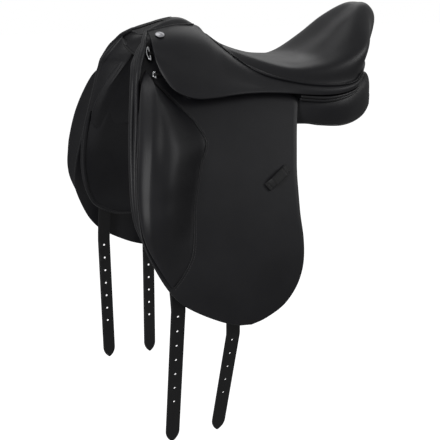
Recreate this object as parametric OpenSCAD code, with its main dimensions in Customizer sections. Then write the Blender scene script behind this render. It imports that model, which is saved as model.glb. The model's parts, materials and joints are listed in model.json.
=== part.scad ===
// Dressage saddle: tree, seat, panels, flaps, girth straps and fittings
// X runs across with the near side at +X, the pommel faces -Y and Z is up
// The origin lies in the channel between the panels, level with their bearing surface

/* [Seat] */
// Seat length from the pommel stud to the top of the cantle
seat_len = 445; // [425:5:465]
// Width of the seat across its widest seams
seat_w = 242; // [230:2:254]
// Height of the lowest point of the seat
seat_dip = 130; // [126:1:136]
// Height of the pommel
pommel_h = 200; // [196:1:204]
// Height of the cantle rim
cantle_h = 219; // [211:1:227]
// Thickness of the seat leather
cover_t = 2; // [1.5:0.1:2.5]
// Thickness of the seat foam
foam_t = 13; // [10:1:15]

/* [Tree] */
// Thickness of the tree bars and cantle
tree_t = 11; // [8:1:12]
// Thickness of the steel plate under the head
head_plate_t = 3; // [2:0.5:4]
// Thickness of the webbing straps
web_t = 2; // [1.5:0.25:2.5]

/* [Panels] */
// Width of the channel between the two panels
channel_w = 70; // [62:2:78]
// Thickness of the panel leather
panel_t = 2; // [1.5:0.25:2.5]

/* [Flaps] */
// Depth of the flap from its bend line to its lowest point
flap_drop = 350; // [330:5:370]
// Width of the flap from front to rear
flap_w = 280; // [270:2:290]
// Distance from the centre plane to the outside of the flap at its lower edge
flap_spread = 235; // [225:1:245]
// Thickness of the flap
flap_t = 4.5; // [3.5:0.25:5]
// Thickness of the sweat flap
sweat_t = 3.5; // [2.5:0.25:4]
// Thickness of the skirt
skirt_t = 4; // [3:0.25:4.5]
// Height of the knee block above the flap
block_h = 36; // [24:1:40]
// Length of the strap keeper on the flap
keeper_len = 52; // [46:1:58]
// Width of the strap keeper
keeper_w = 14; // [11:1:18]

/* [Girth straps] */
// Width of a girth strap
billet_w = 24; // [21:1:27]
// Thickness of a girth strap
billet_t = 3.5; // [2.5:0.25:4]
// Length of a front strap below its bend
front_billet_len = 254; // [236:2:270]
// Length of a rear strap below its bend
rear_billet_len = 200; // [190:2:216]
// Diameter of the buckle holes
hole_d = 5; // [4:0.5:6]
// Spacing of the buckle holes
hole_pitch = 27; // [25:0.5:28]

/* [Fittings] */
// Length of the stirrup bar
bar_len = 84; // [76:2:90]
// Height of the stirrup bar blade
bar_h = 11; // [9:0.5:13]
// Gap behind the blade for the stirrup leather
bar_gap = 4.6; // [4.2:0.1:5]
// Diameter of the dee wire
dee_wire = 3.4; // [2.8:0.2:3.8]
// Bend radius of the upper dee
dee_r = 9.5; // [8.5:0.5:10.5]
// Bend radius of the lower dee
small_dee_r = 6.5; // [5.5:0.5:7]
// Diameter of the pommel stud
stud_d = 15; // [12:0.5:17]

/* [Clearances] */
// Clearance between neighbouring layers
gap = 0.5; // [0.4:0.05:0.6]
// Clearance between a pin and its hole
pin_gap = 0.3; // [0.2:0.05:0.4]

/* [Hidden] */
$fn = 48;
LEATHER = "#1d1d20";
EDGE = "#2a2a2e";
STEEL = "silver";
WOOD = "burlywood";
FOAM = "khaki";
WEB = "#8a7a5c";
FLOCK = "ivory";

// Small maths helpers
function lerp(a, b, t) = a + (b - a) * t;
function unit(v) = v / norm(v);
function span(t, k, i = 0) = (i >= len(k) - 2 || t < k[i + 1][0]) ? i : span(t, k, i + 1);
function key_slope(k, i) =
    let (p = max(i - 1, 0), q = min(i + 1, len(k) - 1))
    (k[q][1] - k[p][1]) / (k[q][0] - k[p][0]);
// Smooth curve through keys [position, value]; the values may be points
function curve(k, t) =
    let (
        i = span(t, k),
        w = k[i + 1][0] - k[i][0],
        u = (t - k[i][0]) / w,
        m0 = key_slope(k, i) * w,
        m1 = key_slope(k, i + 1) * w
    )
    (2 * u ^ 3 - 3 * u ^ 2 + 1) * k[i][1] + (u ^ 3 - 2 * u ^ 2 + u) * m0
    + (3 * u ^ 2 - 2 * u ^ 3) * k[i + 1][1] + (u ^ 3 - u ^ 2) * m1;
// Keys spaced evenly from 0 to 1 through a list of points
function even(points) = [for (i = [0 : len(points) - 1]) [i / (len(points) - 1), points[i]]];
function steps(n, a = 0, b = 1) = [for (i = [0 : n]) lerp(a, b, i / n)];

// Grids are lists of rows of points, read like a page from outside the surface
function grid_normal(g, i, j) =
    let (r = len(g) - 1, c = len(g[0]) - 1)
    unit(cross(g[min(i + 1, r)][j] - g[max(i - 1, 0)][j], g[i][min(j + 1, c)] - g[i][max(j - 1, 0)]));
function raised(g, d) =
    [for (i = [0 : len(g) - 1]) [for (j = [0 : len(g[0]) - 1]) g[i][j] + d * grid_normal(g, i, j)]];
function quad(a, b, c, d) = [[a, b, c], [a, c, d]];
// Closed solid between an outer and an inner grid of the same size
module slab(outer, inner) {
    nr = len(outer);
    nc = len(outer[0]);
    n = nr * nc;
    faces = concat(
        [for (i = [0 : nr - 2]) for (j = [0 : nc - 2]) each
            quad(i * nc + j, i * nc + j + 1, (i + 1) * nc + j + 1, (i + 1) * nc + j)],
        [for (i = [0 : nr - 2]) for (j = [0 : nc - 2]) each
            quad(n + i * nc + j, n + (i + 1) * nc + j, n + (i + 1) * nc + j + 1, n + i * nc + j + 1)],
        [for (j = [0 : nc - 2]) each quad(n + j, n + j + 1, j + 1, j)],
        [for (j = [0 : nc - 2]) each
            quad((nr - 1) * nc + j, (nr - 1) * nc + j + 1, n + (nr - 1) * nc + j + 1, n + (nr - 1) * nc + j)],
        [for (i = [0 : nr - 2]) each quad(n + i * nc, i * nc, (i + 1) * nc, n + (i + 1) * nc)],
        [for (i = [0 : nr - 2]) each
            quad(i * nc + nc - 1, n + i * nc + nc - 1, n + (i + 1) * nc + nc - 1, (i + 1) * nc + nc - 1)]
    );
    polyhedron(concat([for (r = outer) each r], [for (r = inner) each r]), faces);
}
// Sheet of leather from depth a to depth b below a grid
module sheet(g, a, b) {
    slab(raised(g, -a), raised(g, -b));
}
function shifted(g, v) = [for (row = g) [for (p = row) p + v]];
// Closed solid through rings of points, each ring clockwise seen from the first ring's side
module loft(rings) {
    n = len(rings[0]);
    last = (len(rings) - 1) * n;
    faces = concat(
        [for (i = [0 : len(rings) - 2]) for (j = [0 : n - 1]) each
            quad(i * n + j, (i + 1) * n + j, (i + 1) * n + (j + 1) % n, i * n + (j + 1) % n)],
        [for (j = [1 : n - 2]) [0, j, j + 1]],
        [for (j = [1 : n - 2]) [last, last + j + 1, last + j]]
    );
    polyhedron([for (r = rings) each r], faces);
}
module both_sides(right) {
    if (right) {
        mirror([1, 0, 0]) children();
    } else {
        children();
    }
}
// Places a child with its z axis along direction n
module facing(p, n) {
    translate(p) rotate([0, acos(n[2]), atan2(n[1], n[0])]) children();
}

// Seat surface: stations from the front tongue over the cantle rim and down its back
// Each station is [centre, shoulder, side roll, seam] on the near side
stud_at = [50, -236, 168];
cantle_y = stud_at[1] + sqrt(seat_len ^ 2 - stud_at[0] ^ 2 - (cantle_h - stud_at[2]) ^ 2);
half_w = seat_w / 2;
seat_front = [
    [[0, -128, pommel_h - 29], [2.5, -128, pommel_h - 29],
        [4.5, -128.5, pommel_h - 29.5], [6, -129, pommel_h - 30]],
    [[0, -105, seat_dip + 24], [20, -106, seat_dip + 23.5],
        [38, -110, seat_dip + 21.5], [50, -114, seat_dip + 17.5]],
    [[0, -60, seat_dip + 9], [40, -62, seat_dip + 8],
        [half_w - 49, -67, seat_dip + 1], [half_w - 29, -72, 111]],
    [[0, -5, seat_dip], [52, -6, seat_dip - 1], [half_w - 26, -8, seat_dip - 11], [half_w - 8, -10, 93]],
    [[0, 45, seat_dip + 4], [58, 45, seat_dip + 4], [half_w - 17, 48, seat_dip - 8], [half_w, 50, 85]]
];
seat_rear = [for (p = [
    [[0, -112, seat_dip + 22], [56, -110, seat_dip + 24],
        [half_w - 18, -105, seat_dip + 3], [half_w - 4, -102, 86]],
    [[0, -68, cantle_h - 35], [50, -65, cantle_h - 34],
        [half_w - 25, -62, cantle_h - 72], [half_w - 15, -76, 95]],
    [[0, -25, cantle_h], [38, -27, cantle_h - 6], [half_w - 41, -36, cantle_h - 63], [half_w - 24, -62, 105]],
    [[0, 0, cantle_h - 4], [34, -8, cantle_h - 12],
        [half_w - 45, -29, cantle_h - 63], [half_w - 27, -59, 108]],
    [[0, 4, cantle_h - 27], [35, -6, cantle_h - 34],
        [half_w - 46, -31, cantle_h - 77], [half_w - 31, -56, 109]],
    [[0, -6, 120], [34, -12, 118], [half_w - 54, -32, 114], [half_w - 35, -53, 110]]
]) [for (q = p) q + [0, cantle_y, 0]]];
seat_stations = concat(seat_front, seat_rear);
BACK = 10;
seat_key = [for (c = [0 : 3]) [for (i = [0 : BACK]) [i, seat_stations[i][c]]]];
function seat_at(t, v) =
    let (
        c = [for (k = seat_key) curve(k, t)],
        flip = function (p) [-p[0], p[1], p[2]],
        across = [
            [-3, flip(c[3])], [-2, flip(c[2])], [-1, flip(c[1])],
            [0, c[0]], [1, c[1]], [2, c[2]], [3, c[3]]
        ]
    )
    curve(across, 3 * v);
function seat_grid(ts, vs) = [for (t = ts) [for (v = vs) seat_at(t, v)]];
// Point on the near seam of the seat
function seam_at(t) = curve(seat_key[3], t);

// Cut-back pommel: a cap between its rear seam and the edge of the notch
cap_seam = [
    [38.5, -251, pommel_h - 19], [36, -236, pommel_h - 16],
    [22, -196, pommel_h - 11], [0, -152, pommel_h - 12]
];
notch_edge = [
    [36, -252.5, pommel_h - 19], [30, -238, pommel_h - 15],
    [16, -211, pommel_h - 5], [0, -193, pommel_h]
];
notch_low = [
    [33, -251, pommel_h - 33], [26, -235, pommel_h - 29],
    [13, -207, pommel_h - 18], [0, -190, pommel_h - 13]
];
function half_curve(pts, u) =
    curve(even(concat([for (p = pts) [-p[0], p[1], p[2]]], [for (i = [len(pts) - 2 : -1 : 0]) pts[i]])), u);
cap_crown = 4;
function cap_grid(us, rs) = [for (r = rs) [for (u = us)
    lerp(half_curve(cap_seam, u), half_curve(notch_edge, u), r)
    + [0, 0, cap_crown * sin(180 * r) * sin(180 * u)]]];
function notch_grid(us, rs) = [for (r = rs) [for (u = us)
    lerp(half_curve(notch_edge, u), half_curve(notch_low, u), r)]];

// Skirt: the fixed top meets the lifting lobe on one straight line
fold_a = [74, -253, 152.5];
fold_b = [118, -63, 81];
function fold_at(t) = lerp(fold_a, fold_b, t);
seam_drop = [0.8, 0, -1.4];
top_edge = concat(
    [for (p = cap_seam) [p[0] + 1, p[1] + 1, p[2] - gap - 1.6]],
    [[0, -133, pommel_h - 26]],
    [for (t = [0.5, 1, 2, 3, 4, 5, 6, 7]) seam_at(t) + seam_drop]
);
fold_share = [0, 0.09, 0.3, 0.5, 0.58, 0.64, 0.71, 0.93];
strip_drop = [[4, 2, -23.5], [5, 4, -20.5], [3, 3, -17], [2, 1, -15], [2, 0, -11]];
FOLD_END = len(fold_share) - 1;
TOP_END = len(top_edge) - 1;
low_edge = [for (i = [0 : TOP_END])
    i <= FOLD_END ? fold_at(fold_share[i]) : top_edge[i] + strip_drop[i - FOLD_END - 1]];
top_bulge = [5, 8, 13, 15, 14, 11, 8, 2, 1.5, 2, 2, 2, 1];
top_key = [for (i = [0 : TOP_END]) [i, top_edge[i]]];
low_key = [for (i = [0 : TOP_END]) [i, low_edge[i]]];
bulge_key = [for (i = [0 : TOP_END]) [i, top_bulge[i]]];
share_key = [for (i = [0 : FOLD_END]) [i, fold_share[i]]];
function low_at(s) = s <= FOLD_END ? fold_at(curve(share_key, s)) : curve(low_key, s);
// The two skirts stop short of the centre plane
centre_gap = 2.2;
function skirt_at(s, r) =
    let (
        p = curve(top_key, s),
        a = [max(p[0], centre_gap), p[1], p[2]],
        b = low_at(s),
        out = unit([a[2] - b[2], 0, b[0] - a[0]])
    )
    lerp(a, b, r) + curve(bulge_key, s) * sin(180 * r) * out;
function skirt_normal(s, r, e = 0.02) =
    unit(cross(skirt_at(s, r + e) - skirt_at(s, r - e), skirt_at(s + e, r) - skirt_at(s - e, r)));
function skirt_grid(ss, rs) = [for (r = rs) [for (s = ss) skirt_at(s, r)]];
// Lower edge of the lifting lobe, front to rear
lobe_edge = even([
    [86, -255, 134.5], [98, -250, 110], [116, -233, 89], [126, -203, 80],
    [129.5, -169, 80], [128, -123, 83.5], [122, -79, 82]
]);
FOLD_LAST = 0.9;
lobe_bulge = 5;
// The direction in which the lobe is thick
lobe_out = unit([0.8, 0, 0.6]);
function lobe_at(t, r) =
    let (a = fold_at(t * FOLD_LAST) + [0.3, 0, -0.5], b = curve(lobe_edge, t))
    lerp(a, b, r) + [lobe_bulge * sin(180 * r), 0, 0];
function lobe_grid(ts, rs) = [for (r = rs) [for (t = ts) lobe_at(t, r)]];

// Side surface of the flap, flaring towards its lower edge
bend_z = 63;
low_z = bend_z - flap_drop;
top_ref_z = 125;
top_ref_x = 76;
side_power = 1.594;
function flap_x(z) =
    flap_spread - (flap_spread - top_ref_x) * max(0, (z - low_z) / (top_ref_z - low_z)) ^ side_power;
function side_angle(z) = atan((flap_x(z - 1) - flap_x(z + 1)) / 2);
// The sweat flap hangs more steeply than the flap, with the straps between them
stand_off = 42;
stand_from = 20;
stand_to = -190;
strap_share = 0.52;
function stand(z) =
    let (t = max(0, min(1, (stand_from - z) / (stand_from - stand_to))))
    stand_off * t ^ 2 * (3 - 2 * t);
strap_in = flap_t + gap;
sweat_out = strap_in + billet_t + gap;
sweat_in = sweat_out + sweat_t;
function strap_x(z) = flap_x(z) - strap_in - strap_share * stand(z);
function sweat_x(z) = flap_x(z) - sweat_out - stand(z);
// Rows between a front and a rear edge given as [y, z] points, on the surface x = side(z) - d
function side_grid(side, front, rear, ts, us, d) = [for (t = ts)
    let (a = curve(front, t), b = curve(rear, t))
    [for (u = us) let (p = lerp(a, b, u)) [side(p[1]) - d, p[0], p[1]]]];
flap_face = function (z) flap_x(z);
strap_face = function (z) strap_x(z);
sweat_face = function (z) sweat_x(z);
module on_side(y, z, d = 0) {
    translate([flap_x(z), y, z]) rotate([0, -side_angle(z), 0]) translate([-d, 0, 0]) children();
}

// Flap outline in shares of its width and depth, from the bend line down
flap_mid = -182;
function flap_edge(pts) = even([for (p = pts) [flap_mid + p[0] * flap_w, bend_z - p[1] * flap_drop]]);
flap_front = flap_edge([
    [-0.418, 0], [-0.454, 0.12], [-0.479, 0.226], [-0.5, 0.326], [-0.502, 0.431],
    [-0.487, 0.545], [-0.432, 0.663], [-0.375, 0.766], [-0.307, 0.84], [-0.218, 0.894],
    [-0.096, 0.946], [-0.02, 0.971], [0.04, 0.986]
]);
flap_rear = flap_edge([
    [0.636, 0], [0.589, 0.117], [0.554, 0.223], [0.525, 0.326], [0.509, 0.431],
    [0.5, 0.523], [0.5, 0.623], [0.487, 0.717], [0.458, 0.791], [0.405, 0.862],
    [0.32, 0.928], [0.2, 0.974], [0.11, 0.992]
]);
FLAP_ROWS = steps(22);
head_front = even([[-262, 149], [-274, 127], [-288, 95], [curve(flap_front, 0)[0], bend_z + gap]]);
head_rear = even([[-66, 96], [-42, 86], [-20, 75], [curve(flap_rear, 0)[0], bend_z + gap]]);
sweat_front = even([
    [-284, 130], [-304, 79], [-316, 33], [-322, 0], [-323, -40],
    [-321, -80], [-312, -128], [-292, -164], [-255, -184]
]);
sweat_rear = even([
    [-232, 100], [-120, 56], [-78, 20], [-64, -25], [-62, -65],
    [-66, -105], [-80, -143], [-118, -176], [-175, -189]
]);
// Seam at the rear of the knee block, from the top of the block down
block_rear = even([
    [-228, 55], [-198, 38], [-194, 11], [-211, -32], [-228, -76], [-238, -120], [-251, -164], [-274, -195]
]);
block_front = even([for (z = [58, 32, 0, -40, -85, -130, -168, -200]) [front_y(z), z]]);
// The flap's front edge at a given height, found along its curve
function front_t(z, lo = 0, hi = 0.9, n = 18) =
    let (m = (lo + hi) / 2)
    n == 0 ? m : curve(flap_front, m)[1] > z ? front_t(z, m, hi, n - 1) : front_t(z, lo, m, n - 1);
function front_y(z) = curve(flap_front, front_t(z))[0] + 1.5;
// Share of the block's height down its length
block_down = [
    [0, 0.2], [0.05, 0.62], [0.14, 0.92], [0.4, 1], [0.6, 0.9], [0.8, 0.5], [0.93, 0.16], [1, 0.04]
];
// Block section from its front edge to its seam: [share of the way back, share of the height, overhang]
block_section = [
    [0, 0.06, 0], [0, 0.32, 7.5], [0, 0.62, 10], [0.02, 0.86, 9.5], [0.09, 1, 6], [0.24, 0.94, 2],
    [0.48, 0.62, 0], [0.75, 0.24, 0], [1, 0.03, 0]
];
block_base = [0, 0.03, 0.07, 0.12, 0.2, 0.34, 0.52, 0.77, 1];

// Girth straps: [centre y, height of the bend, inward lean, length below the bend,
// height of the top, forward slant]
web_low = -22;
front_strap = [-269, -250, 5.5, front_billet_len, web_low - gap, 1.3];
rear_strap = [-172, -309, 9.7, rear_billet_len, web_low - gap, 4.2];
tip_room = 80;

// Stirrup bar and dees, placed on the side surface
bar_y = -172;
bar_z = 83;
bar_plate_t = 2.4;
bar_plate_h = 19;
blade_t = 3.4;
bar_lift = gap + 0.4;
blade_in = bar_lift + bar_plate_t + bar_gap;
foot_len = 9;
catch_len = 17;
catch_pin_d = 3;
catch_y = bar_len / 2 - 6;
rivet_d = 8;
rivet_h = 1.8;
upper_dee = [-257.5, 144];
lower_dee = [-256, 112];
chape_t = 1.2;
dee_lift = gap + dee_wire / 2 + pin_gap + chape_t;
chape_len = 22;

// Tree
layer_gap = 1.9 * gap;
foam_in = cover_t + layer_gap;
web_in = foam_in + foam_t + layer_gap;
tree_in = web_in + web_t + layer_gap;
module tree_head() {
    top = raised(cap_grid(steps(16, 0.16, 0.84), steps(3, 0.2, 0.78)), -cover_t - gap);
    color(WOOD) slab(top, shifted(top, [0, 0, -tree_t]));
}
// The head plate is an arch that follows the inside of the tree sides at its rear edge
plate_s = 2.95;
plate_len = 30;
function plate_point(r) =
    let (p = skirt_at(plate_s, r) - (skirt_t + gap + tree_t + 3 * gap) * skirt_normal(plate_s, r))
    [p[0], p[2]];
plate_half = [for (r = [0.47, 0.38, 0.28, 0.18, 0.09]) plate_point(r)];
plate_top = [0, plate_half[4][1] + 1];
plate_y = skirt_at(plate_s, 0.25)[1];
module head_plate() {
    outer = even(concat(
        [for (p = plate_half) [-p[0], p[1]]],
        [plate_top],
        [for (i = [4 : -1 : 0]) plate_half[i]]
    ));
    foot = plate_half[0][0];
    color(STEEL) translate([0, plate_y, 0]) rotate([90, 0, 0]) linear_extrude(plate_len) polygon(concat(
        [for (u = steps(24)) curve(outer, u)],
        [for (u = steps(24, 1, 0))
            let (p = curve(outer, u))
            [p[0] * (1 - head_plate_t / foot), p[1] - head_plate_t]]
    ));
}
module tree_side(right) {
    color(WOOD) both_sides(right)
        sheet(skirt_grid(steps(14, 0.5, 6.4), steps(5, 0.1, 0.492)), skirt_t + gap, skirt_t + gap + tree_t);
}
module tree_rail(right) {
    color(WOOD) both_sides(right)
        sheet(seat_grid(steps(12, 2, 5.42), [0.84, 0.73, 0.62, 0.5]), web_in + gap, web_in + gap + tree_t);
}
module tree_cantle() {
    color(WOOD) sheet(seat_grid(steps(6, 5.6, 7.3), steps(14, 0.8, -0.8)), tree_in, tree_in + tree_t);
}
point_low = 72;
point_high = 118;
point_t = 7;
module tree_point(right) {
    front = even([[-226, point_high], [-234, point_low]]);
    rear = even([[-190, point_high - 10], [-150, point_low]]);
    inside = sweat_in + gap;
    color(WOOD) both_sides(right) slab(
        side_grid(flap_face, front, rear, steps(5), steps(5), inside),
        side_grid(flap_face, front, rear, steps(5), steps(5), inside + point_t)
    );
}

// Seat
module seat_webbing() {
    strap = 0.13;
    color(WEB) {
        for (v = [-0.3, 0, 0.3]) {
            sheet(seat_grid(steps(12, 1.6, 6.4), [v + strap, v, v - strap]), web_in, web_in + web_t);
        }
    }
}
module seat_foam() {
    color(FOAM) sheet(
        seat_grid(steps(20, 0.8, 7.6), steps(14, 0.9, -0.9)),
        foam_in, foam_in + foam_t
    );
}
module seat_cover() {
    color(LEATHER) sheet(seat_grid(steps(30, 0, BACK), steps(18, 1, -1)), 0, cover_t);
}
module pommel_cap() {
    color(LEATHER) sheet(cap_grid(steps(20, 0.01, 0.99), steps(5, 0, 0.97)), 0, cover_t);
}
module pommel_facing() {
    color(LEATHER) sheet(notch_grid(steps(20, 0.03, 0.97), steps(4, 0.24, 1)), 0, cover_t);
}
module skirt_top(right) {
    color(LEATHER) both_sides(right) sheet(skirt_grid(steps(30, 0, TOP_END), steps(7)), 0, skirt_t);
}
module skirt(right) {
    face = lobe_grid(steps(16), steps(4));
    color(LEATHER) both_sides(right) slab(face, shifted(face, -skirt_t * lobe_out));
}

// Panels: sections with corners at the inner top, outer top, outer bottom and inner bottom
chan = channel_w / 2;
panel_rear_y = cantle_y - 32;
// Greatest distance of the panels from the centre plane
side = 126;
// Top of the panels at the front, which follows the pommel half as far as it rises
head_z = pommel_h / 2 + 56;
// Its outer edge stays under the sweat flap
edge_z = min(head_z - 2, 154);
panel_keys = [
    [-318, [chan + 33, 96], [side - 53, 98], [side - 7, 10], [chan + 78, 6]],
    [-308, [chan + 2, head_z - 10], [side - 75, edge_z - 4], [side - 2, -2], [chan + 60, -6]],
    [-285, [chan - 5, head_z], [side - 76, edge_z], [side, -6], [chan + 52, -4]],
    [-235, [chan - 2, head_z - 24], [side - 81, edge_z - 28], [side, -2], [chan + 34, 20]],
    [-150, [chan - 1, 104], [side - 58, 92], [side - 3, 2], [chan + 12, 34]],
    [-60, [chan, 90], [side - 29, 76], [side - 3, 4], [chan + 2, 38]],
    [40, [chan, 90], [side - 11, 65], [side - 11, 4], [chan, 36]],
    [panel_rear_y - 78, [chan, 92], [side - 14, 68], [side - 17, 2], [chan + 2, 34]],
    [panel_rear_y - 33, [chan + 2, 98], [side - 27, 86], [side - 27, 10], [chan + 6, 40]],
    [panel_rear_y - 8, [chan + 6, 100], [side - 41, 98], [side - 39, 30], [chan + 10, 54]],
    [panel_rear_y, [chan + 12, 92], [side - 51, 90], [side - 49, 50], [chan + 16, 62]]
];
// Cuts every corner of a closed outline once
function cut(p) = [for (i = [0 : len(p) - 1])
    let (q = p[(i + 1) % len(p)])
    each [lerp(p[i], q, 0.22), lerp(p[i], q, 0.78)]];
// How far the front of the panel leans back as it rises
lean_key = [[-10, 0], [34, 3], [76, 16], [118, 34], [158, 52]];
lean_share = [[-318, 1], [-285, 1], [-235, 0.4], [-150, 0], [400, 0]];
panel_corner = [for (c = [1 : 4]) [for (k = panel_keys) [k[0], k[c]]]];
function shrunk(p, d) =
    let (n = len(p))
    [for (i = [0 : n - 1])
        let (e = unit(p[(i + 1) % n] - p[(i + n - 1) % n]))
        p[i] - d * [-e[1], e[0]]];
function panel_ring(y, d) =
    let (
        p = cut(cut([for (k = panel_corner) curve(k, y)])),
        share = curve(lean_share, y)
    )
    [for (q = shrunk(p, d)) [q[0], y + share * curve(lean_key, max(-10, min(158, q[1]))), q[1]]];
function panel_rings(ys, d) = [for (y = ys) panel_ring(y, d)];
panel_start = panel_keys[0][0];
wall_y = concat(
    steps(4, panel_start, -285), steps(12, -268, panel_rear_y - 30), steps(4, panel_rear_y - 22, panel_rear_y)
);
fill_y = steps(14, panel_start + 24, panel_rear_y - 10);
FILL_LAST = len(fill_y) - 1;
flock_y = [for (i = [0 : FILL_LAST]) fill_y[i] + (i == 0 ? 2 * gap : i == FILL_LAST ? -2 * gap : 0)];
module panel_cover(right) {
    color(LEATHER) both_sides(right) difference() {
        loft(panel_rings(wall_y, 0));
        loft(panel_rings(fill_y, panel_t));
    }
}
// The filling stands a little inside its cover all round
flock_loose = 0.03;
function middle(r) = [for (i = [0 : 2]) ([for (p = r) p[i]] * [for (p = r) 1]) / len(r)];
module panel_flock(right) {
    color(FLOCK) both_sides(right) loft([for (r = panel_rings(flock_y, panel_t))
        let (m = middle(r)) [for (p = r) lerp(p, m, flock_loose)]]);
}

// Flaps and straps
module side_sheet(side, front, rear, ts, us, a, b) {
    slab(side_grid(side, front, rear, ts, us, a), side_grid(side, front, rear, ts, us, b));
}
module sweat_flap(right) {
    color(LEATHER) both_sides(right)
        side_sheet(sweat_face, sweat_front, sweat_rear, steps(16), steps(8), 0, sweat_t);
}
module flap_head(right) {
    color(LEATHER) both_sides(right)
        side_sheet(flap_face, head_front, head_rear, steps(6), steps(10), 0, flap_t);
}
module flap(right) {
    color(LEATHER) both_sides(right)
        side_sheet(flap_face, flap_front, flap_rear, FLAP_ROWS, steps(9), 0, flap_t);
}
module knee_block(right) {
    ts = steps(14);
    base = side_grid(flap_face, block_front, block_rear, ts, block_base, -gap);
    crown = [for (t = ts)
        let (a = curve(block_front, t), b = curve(block_rear, t), h = curve(block_down, t))
        [for (s = block_section)
            let (p = lerp(a, b, s[0]))
            [flap_x(p[1]) + gap + block_h * h * s[1], p[0] - h * s[2], p[1]]]];
    color(LEATHER) both_sides(right) slab(crown, base);
}
module keeper(right) {
    rise = 4;
    strap_t = 2;
    end = 9;
    y0 = -74;
    z0 = -57;
    slope = 27;
    color(EDGE) both_sides(right) on_side(y0, z0) rotate([slope, 0, 0]) difference() {
        translate([gap, -keeper_len / 2, -keeper_w / 2]) cube([rise + strap_t, keeper_len, keeper_w]);
        translate([0, -keeper_len / 2 + end, -keeper_w])
            cube([gap + rise, keeper_len - 2 * end, 2 * keeper_w]);
    }
}
module girth_web(right) {
    front = even([[-238, 78], [-246, 30], [-290, web_low]]);
    rear = even([[-120, 78], [-130, 30], [-150, web_low]]);
    in = 0.2;
    color(WEB) both_sides(right) side_sheet(strap_face, front, rear, steps(6), steps(6), in, billet_t - in);
}
module strap_top(s, right) {
    end = s[1] + billet_t / 2 + gap;
    front = even([[s[0] - billet_w / 2, s[4]], [s[0] - billet_w / 2, end]]);
    rear = even([[s[0] + billet_w / 2, s[4]], [s[0] + billet_w / 2, end]]);
    color(LEATHER) both_sides(right) side_sheet(strap_face, front, rear, steps(12), [0, 0.5, 1], 0, billet_t);
}
module billet(s, right) {
    tip_r = billet_w;
    tip_len = sqrt(tip_r ^ 2 - (tip_r - billet_w / 2) ^ 2);
    holes = floor((s[3] - tip_room - hole_pitch / 3) / hole_pitch);
    at = [strap_x(s[1]) - billet_t / 2, s[0], s[1]];
    color(LEATHER) both_sides(right) translate(at) rotate([0, s[2], 0]) {
        difference() {
            union() {
                rotate([90, 0, 0]) cylinder(d = billet_t, h = billet_w, center = true);
                rotate([-s[5], 0, 0]) translate([-billet_t / 2, 0, 0]) rotate([90, 0, 90])
                    linear_extrude(billet_t) {
                        translate([-billet_w / 2, tip_len - s[3]]) square([billet_w, s[3] - tip_len]);
                        translate([0, tip_len - s[3]]) intersection() {
                            translate([tip_r - billet_w / 2, 0]) circle(tip_r);
                            translate([billet_w / 2 - tip_r, 0]) circle(tip_r);
                            translate([-billet_w, -2 * tip_len]) square([2 * billet_w, 2 * tip_len + 1]);
                        }
                    }
            }
            for (i = [0 : holes]) {
                rotate([-s[5], 0, 0]) translate([0, 0, tip_room - s[3] + i * hole_pitch])
                    rotate([0, 90, 0]) cylinder(d = hole_d, h = 3 * billet_t, center = true);
            }
        }
    }
}

// Fittings
module bar_frame(right) {
    both_sides(right) on_side(bar_y, bar_z) children();
}
module stirrup_bar(right) {
    r = bar_plate_h / 2;
    color(STEEL) bar_frame(right) {
        translate([bar_lift, 0, 0]) rotate([90, 0, 90]) linear_extrude(bar_plate_t) {
            square([bar_len - bar_plate_h, bar_plate_h], center = true);
            for (s = [-1, 1]) {
                translate([s * (bar_len / 2 - r), 0]) circle(r);
            }
        }
        translate([bar_lift + bar_plate_t, -bar_len / 2 + 3, -bar_h / 2]) cube([bar_gap, foot_len, bar_h]);
        difference() {
            translate([blade_in, 0, 0]) rotate([90, 0, 90]) linear_extrude(blade_t) {
                translate([-bar_len / 2 + 3, -bar_h / 2]) square([catch_y + bar_len / 2 - 3, bar_h]);
                translate([catch_y, 0]) circle(d = bar_h);
            }
            translate([blade_in + blade_t / 2, catch_y - bar_h, -bar_h])
                cube([blade_t, 2 * bar_h, 2 * bar_h]);
        }
        translate([blade_in + blade_t / 2, catch_y, 0]) rotate([0, 90, 0])
            cylinder(d = catch_pin_d, h = blade_t / 2);
    }
}
module bar_catch(right) {
    plate_t = blade_t / 2 - pin_gap;
    color(STEEL) bar_frame(right) translate([blade_in + blade_t / 2 + pin_gap, catch_y, 0]) difference() {
        rotate([90, 0, 90]) linear_extrude(plate_t) {
            circle(d = bar_h);
            translate([0, -bar_h / 2]) square([catch_len - bar_h, bar_h]);
            translate([catch_len - bar_h, 0]) circle(d = bar_h);
        }
        rotate([0, 90, 0]) cylinder(d = catch_pin_d + 2 * pin_gap, h = 3 * plate_t, center = true);
    }
}
module bar_rivets(right) {
    color(STEEL) bar_frame(right) {
        for (y = [-bar_len / 2 + 3 + foot_len + rivet_d, bar_len / 2 - rivet_d]) {
            translate([bar_lift + bar_plate_t, y, 0]) rotate([0, 90, 0]) cylinder(d = rivet_d, h = rivet_h);
        }
    }
}
module dee(at, r, right) {
    color(STEEL) both_sides(right) on_side(at[0], at[1], -dee_lift) {
        cylinder(d = dee_wire, h = 2 * r, center = true);
        rotate([0, 90, 0]) rotate([0, 0, 180]) rotate_extrude(angle = 180)
            translate([r, 0]) circle(d = dee_wire);
        for (s = [-1, 1]) {
            translate([0, 0, s * r]) sphere(d = dee_wire);
        }
    }
}
module chape(at, r, right) {
    width = r;
    bore = dee_wire + 2 * pin_gap;
    both_sides(right) on_side(at[0], at[1], -dee_lift) difference() {
        union() {
            cylinder(d = bore + 2 * chape_t, h = width, center = true);
            translate([-bore / 2 - chape_t, 0, -width / 2]) cube([2 * chape_t, chape_len, width]);
        }
        cylinder(d = bore, h = 2 * width, center = true);
    }
}
module dee_chapes(right) {
    color(LEATHER) {
        chape(upper_dee, dee_r, right);
        chape(lower_dee, small_dee_r, right);
    }
}
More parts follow.
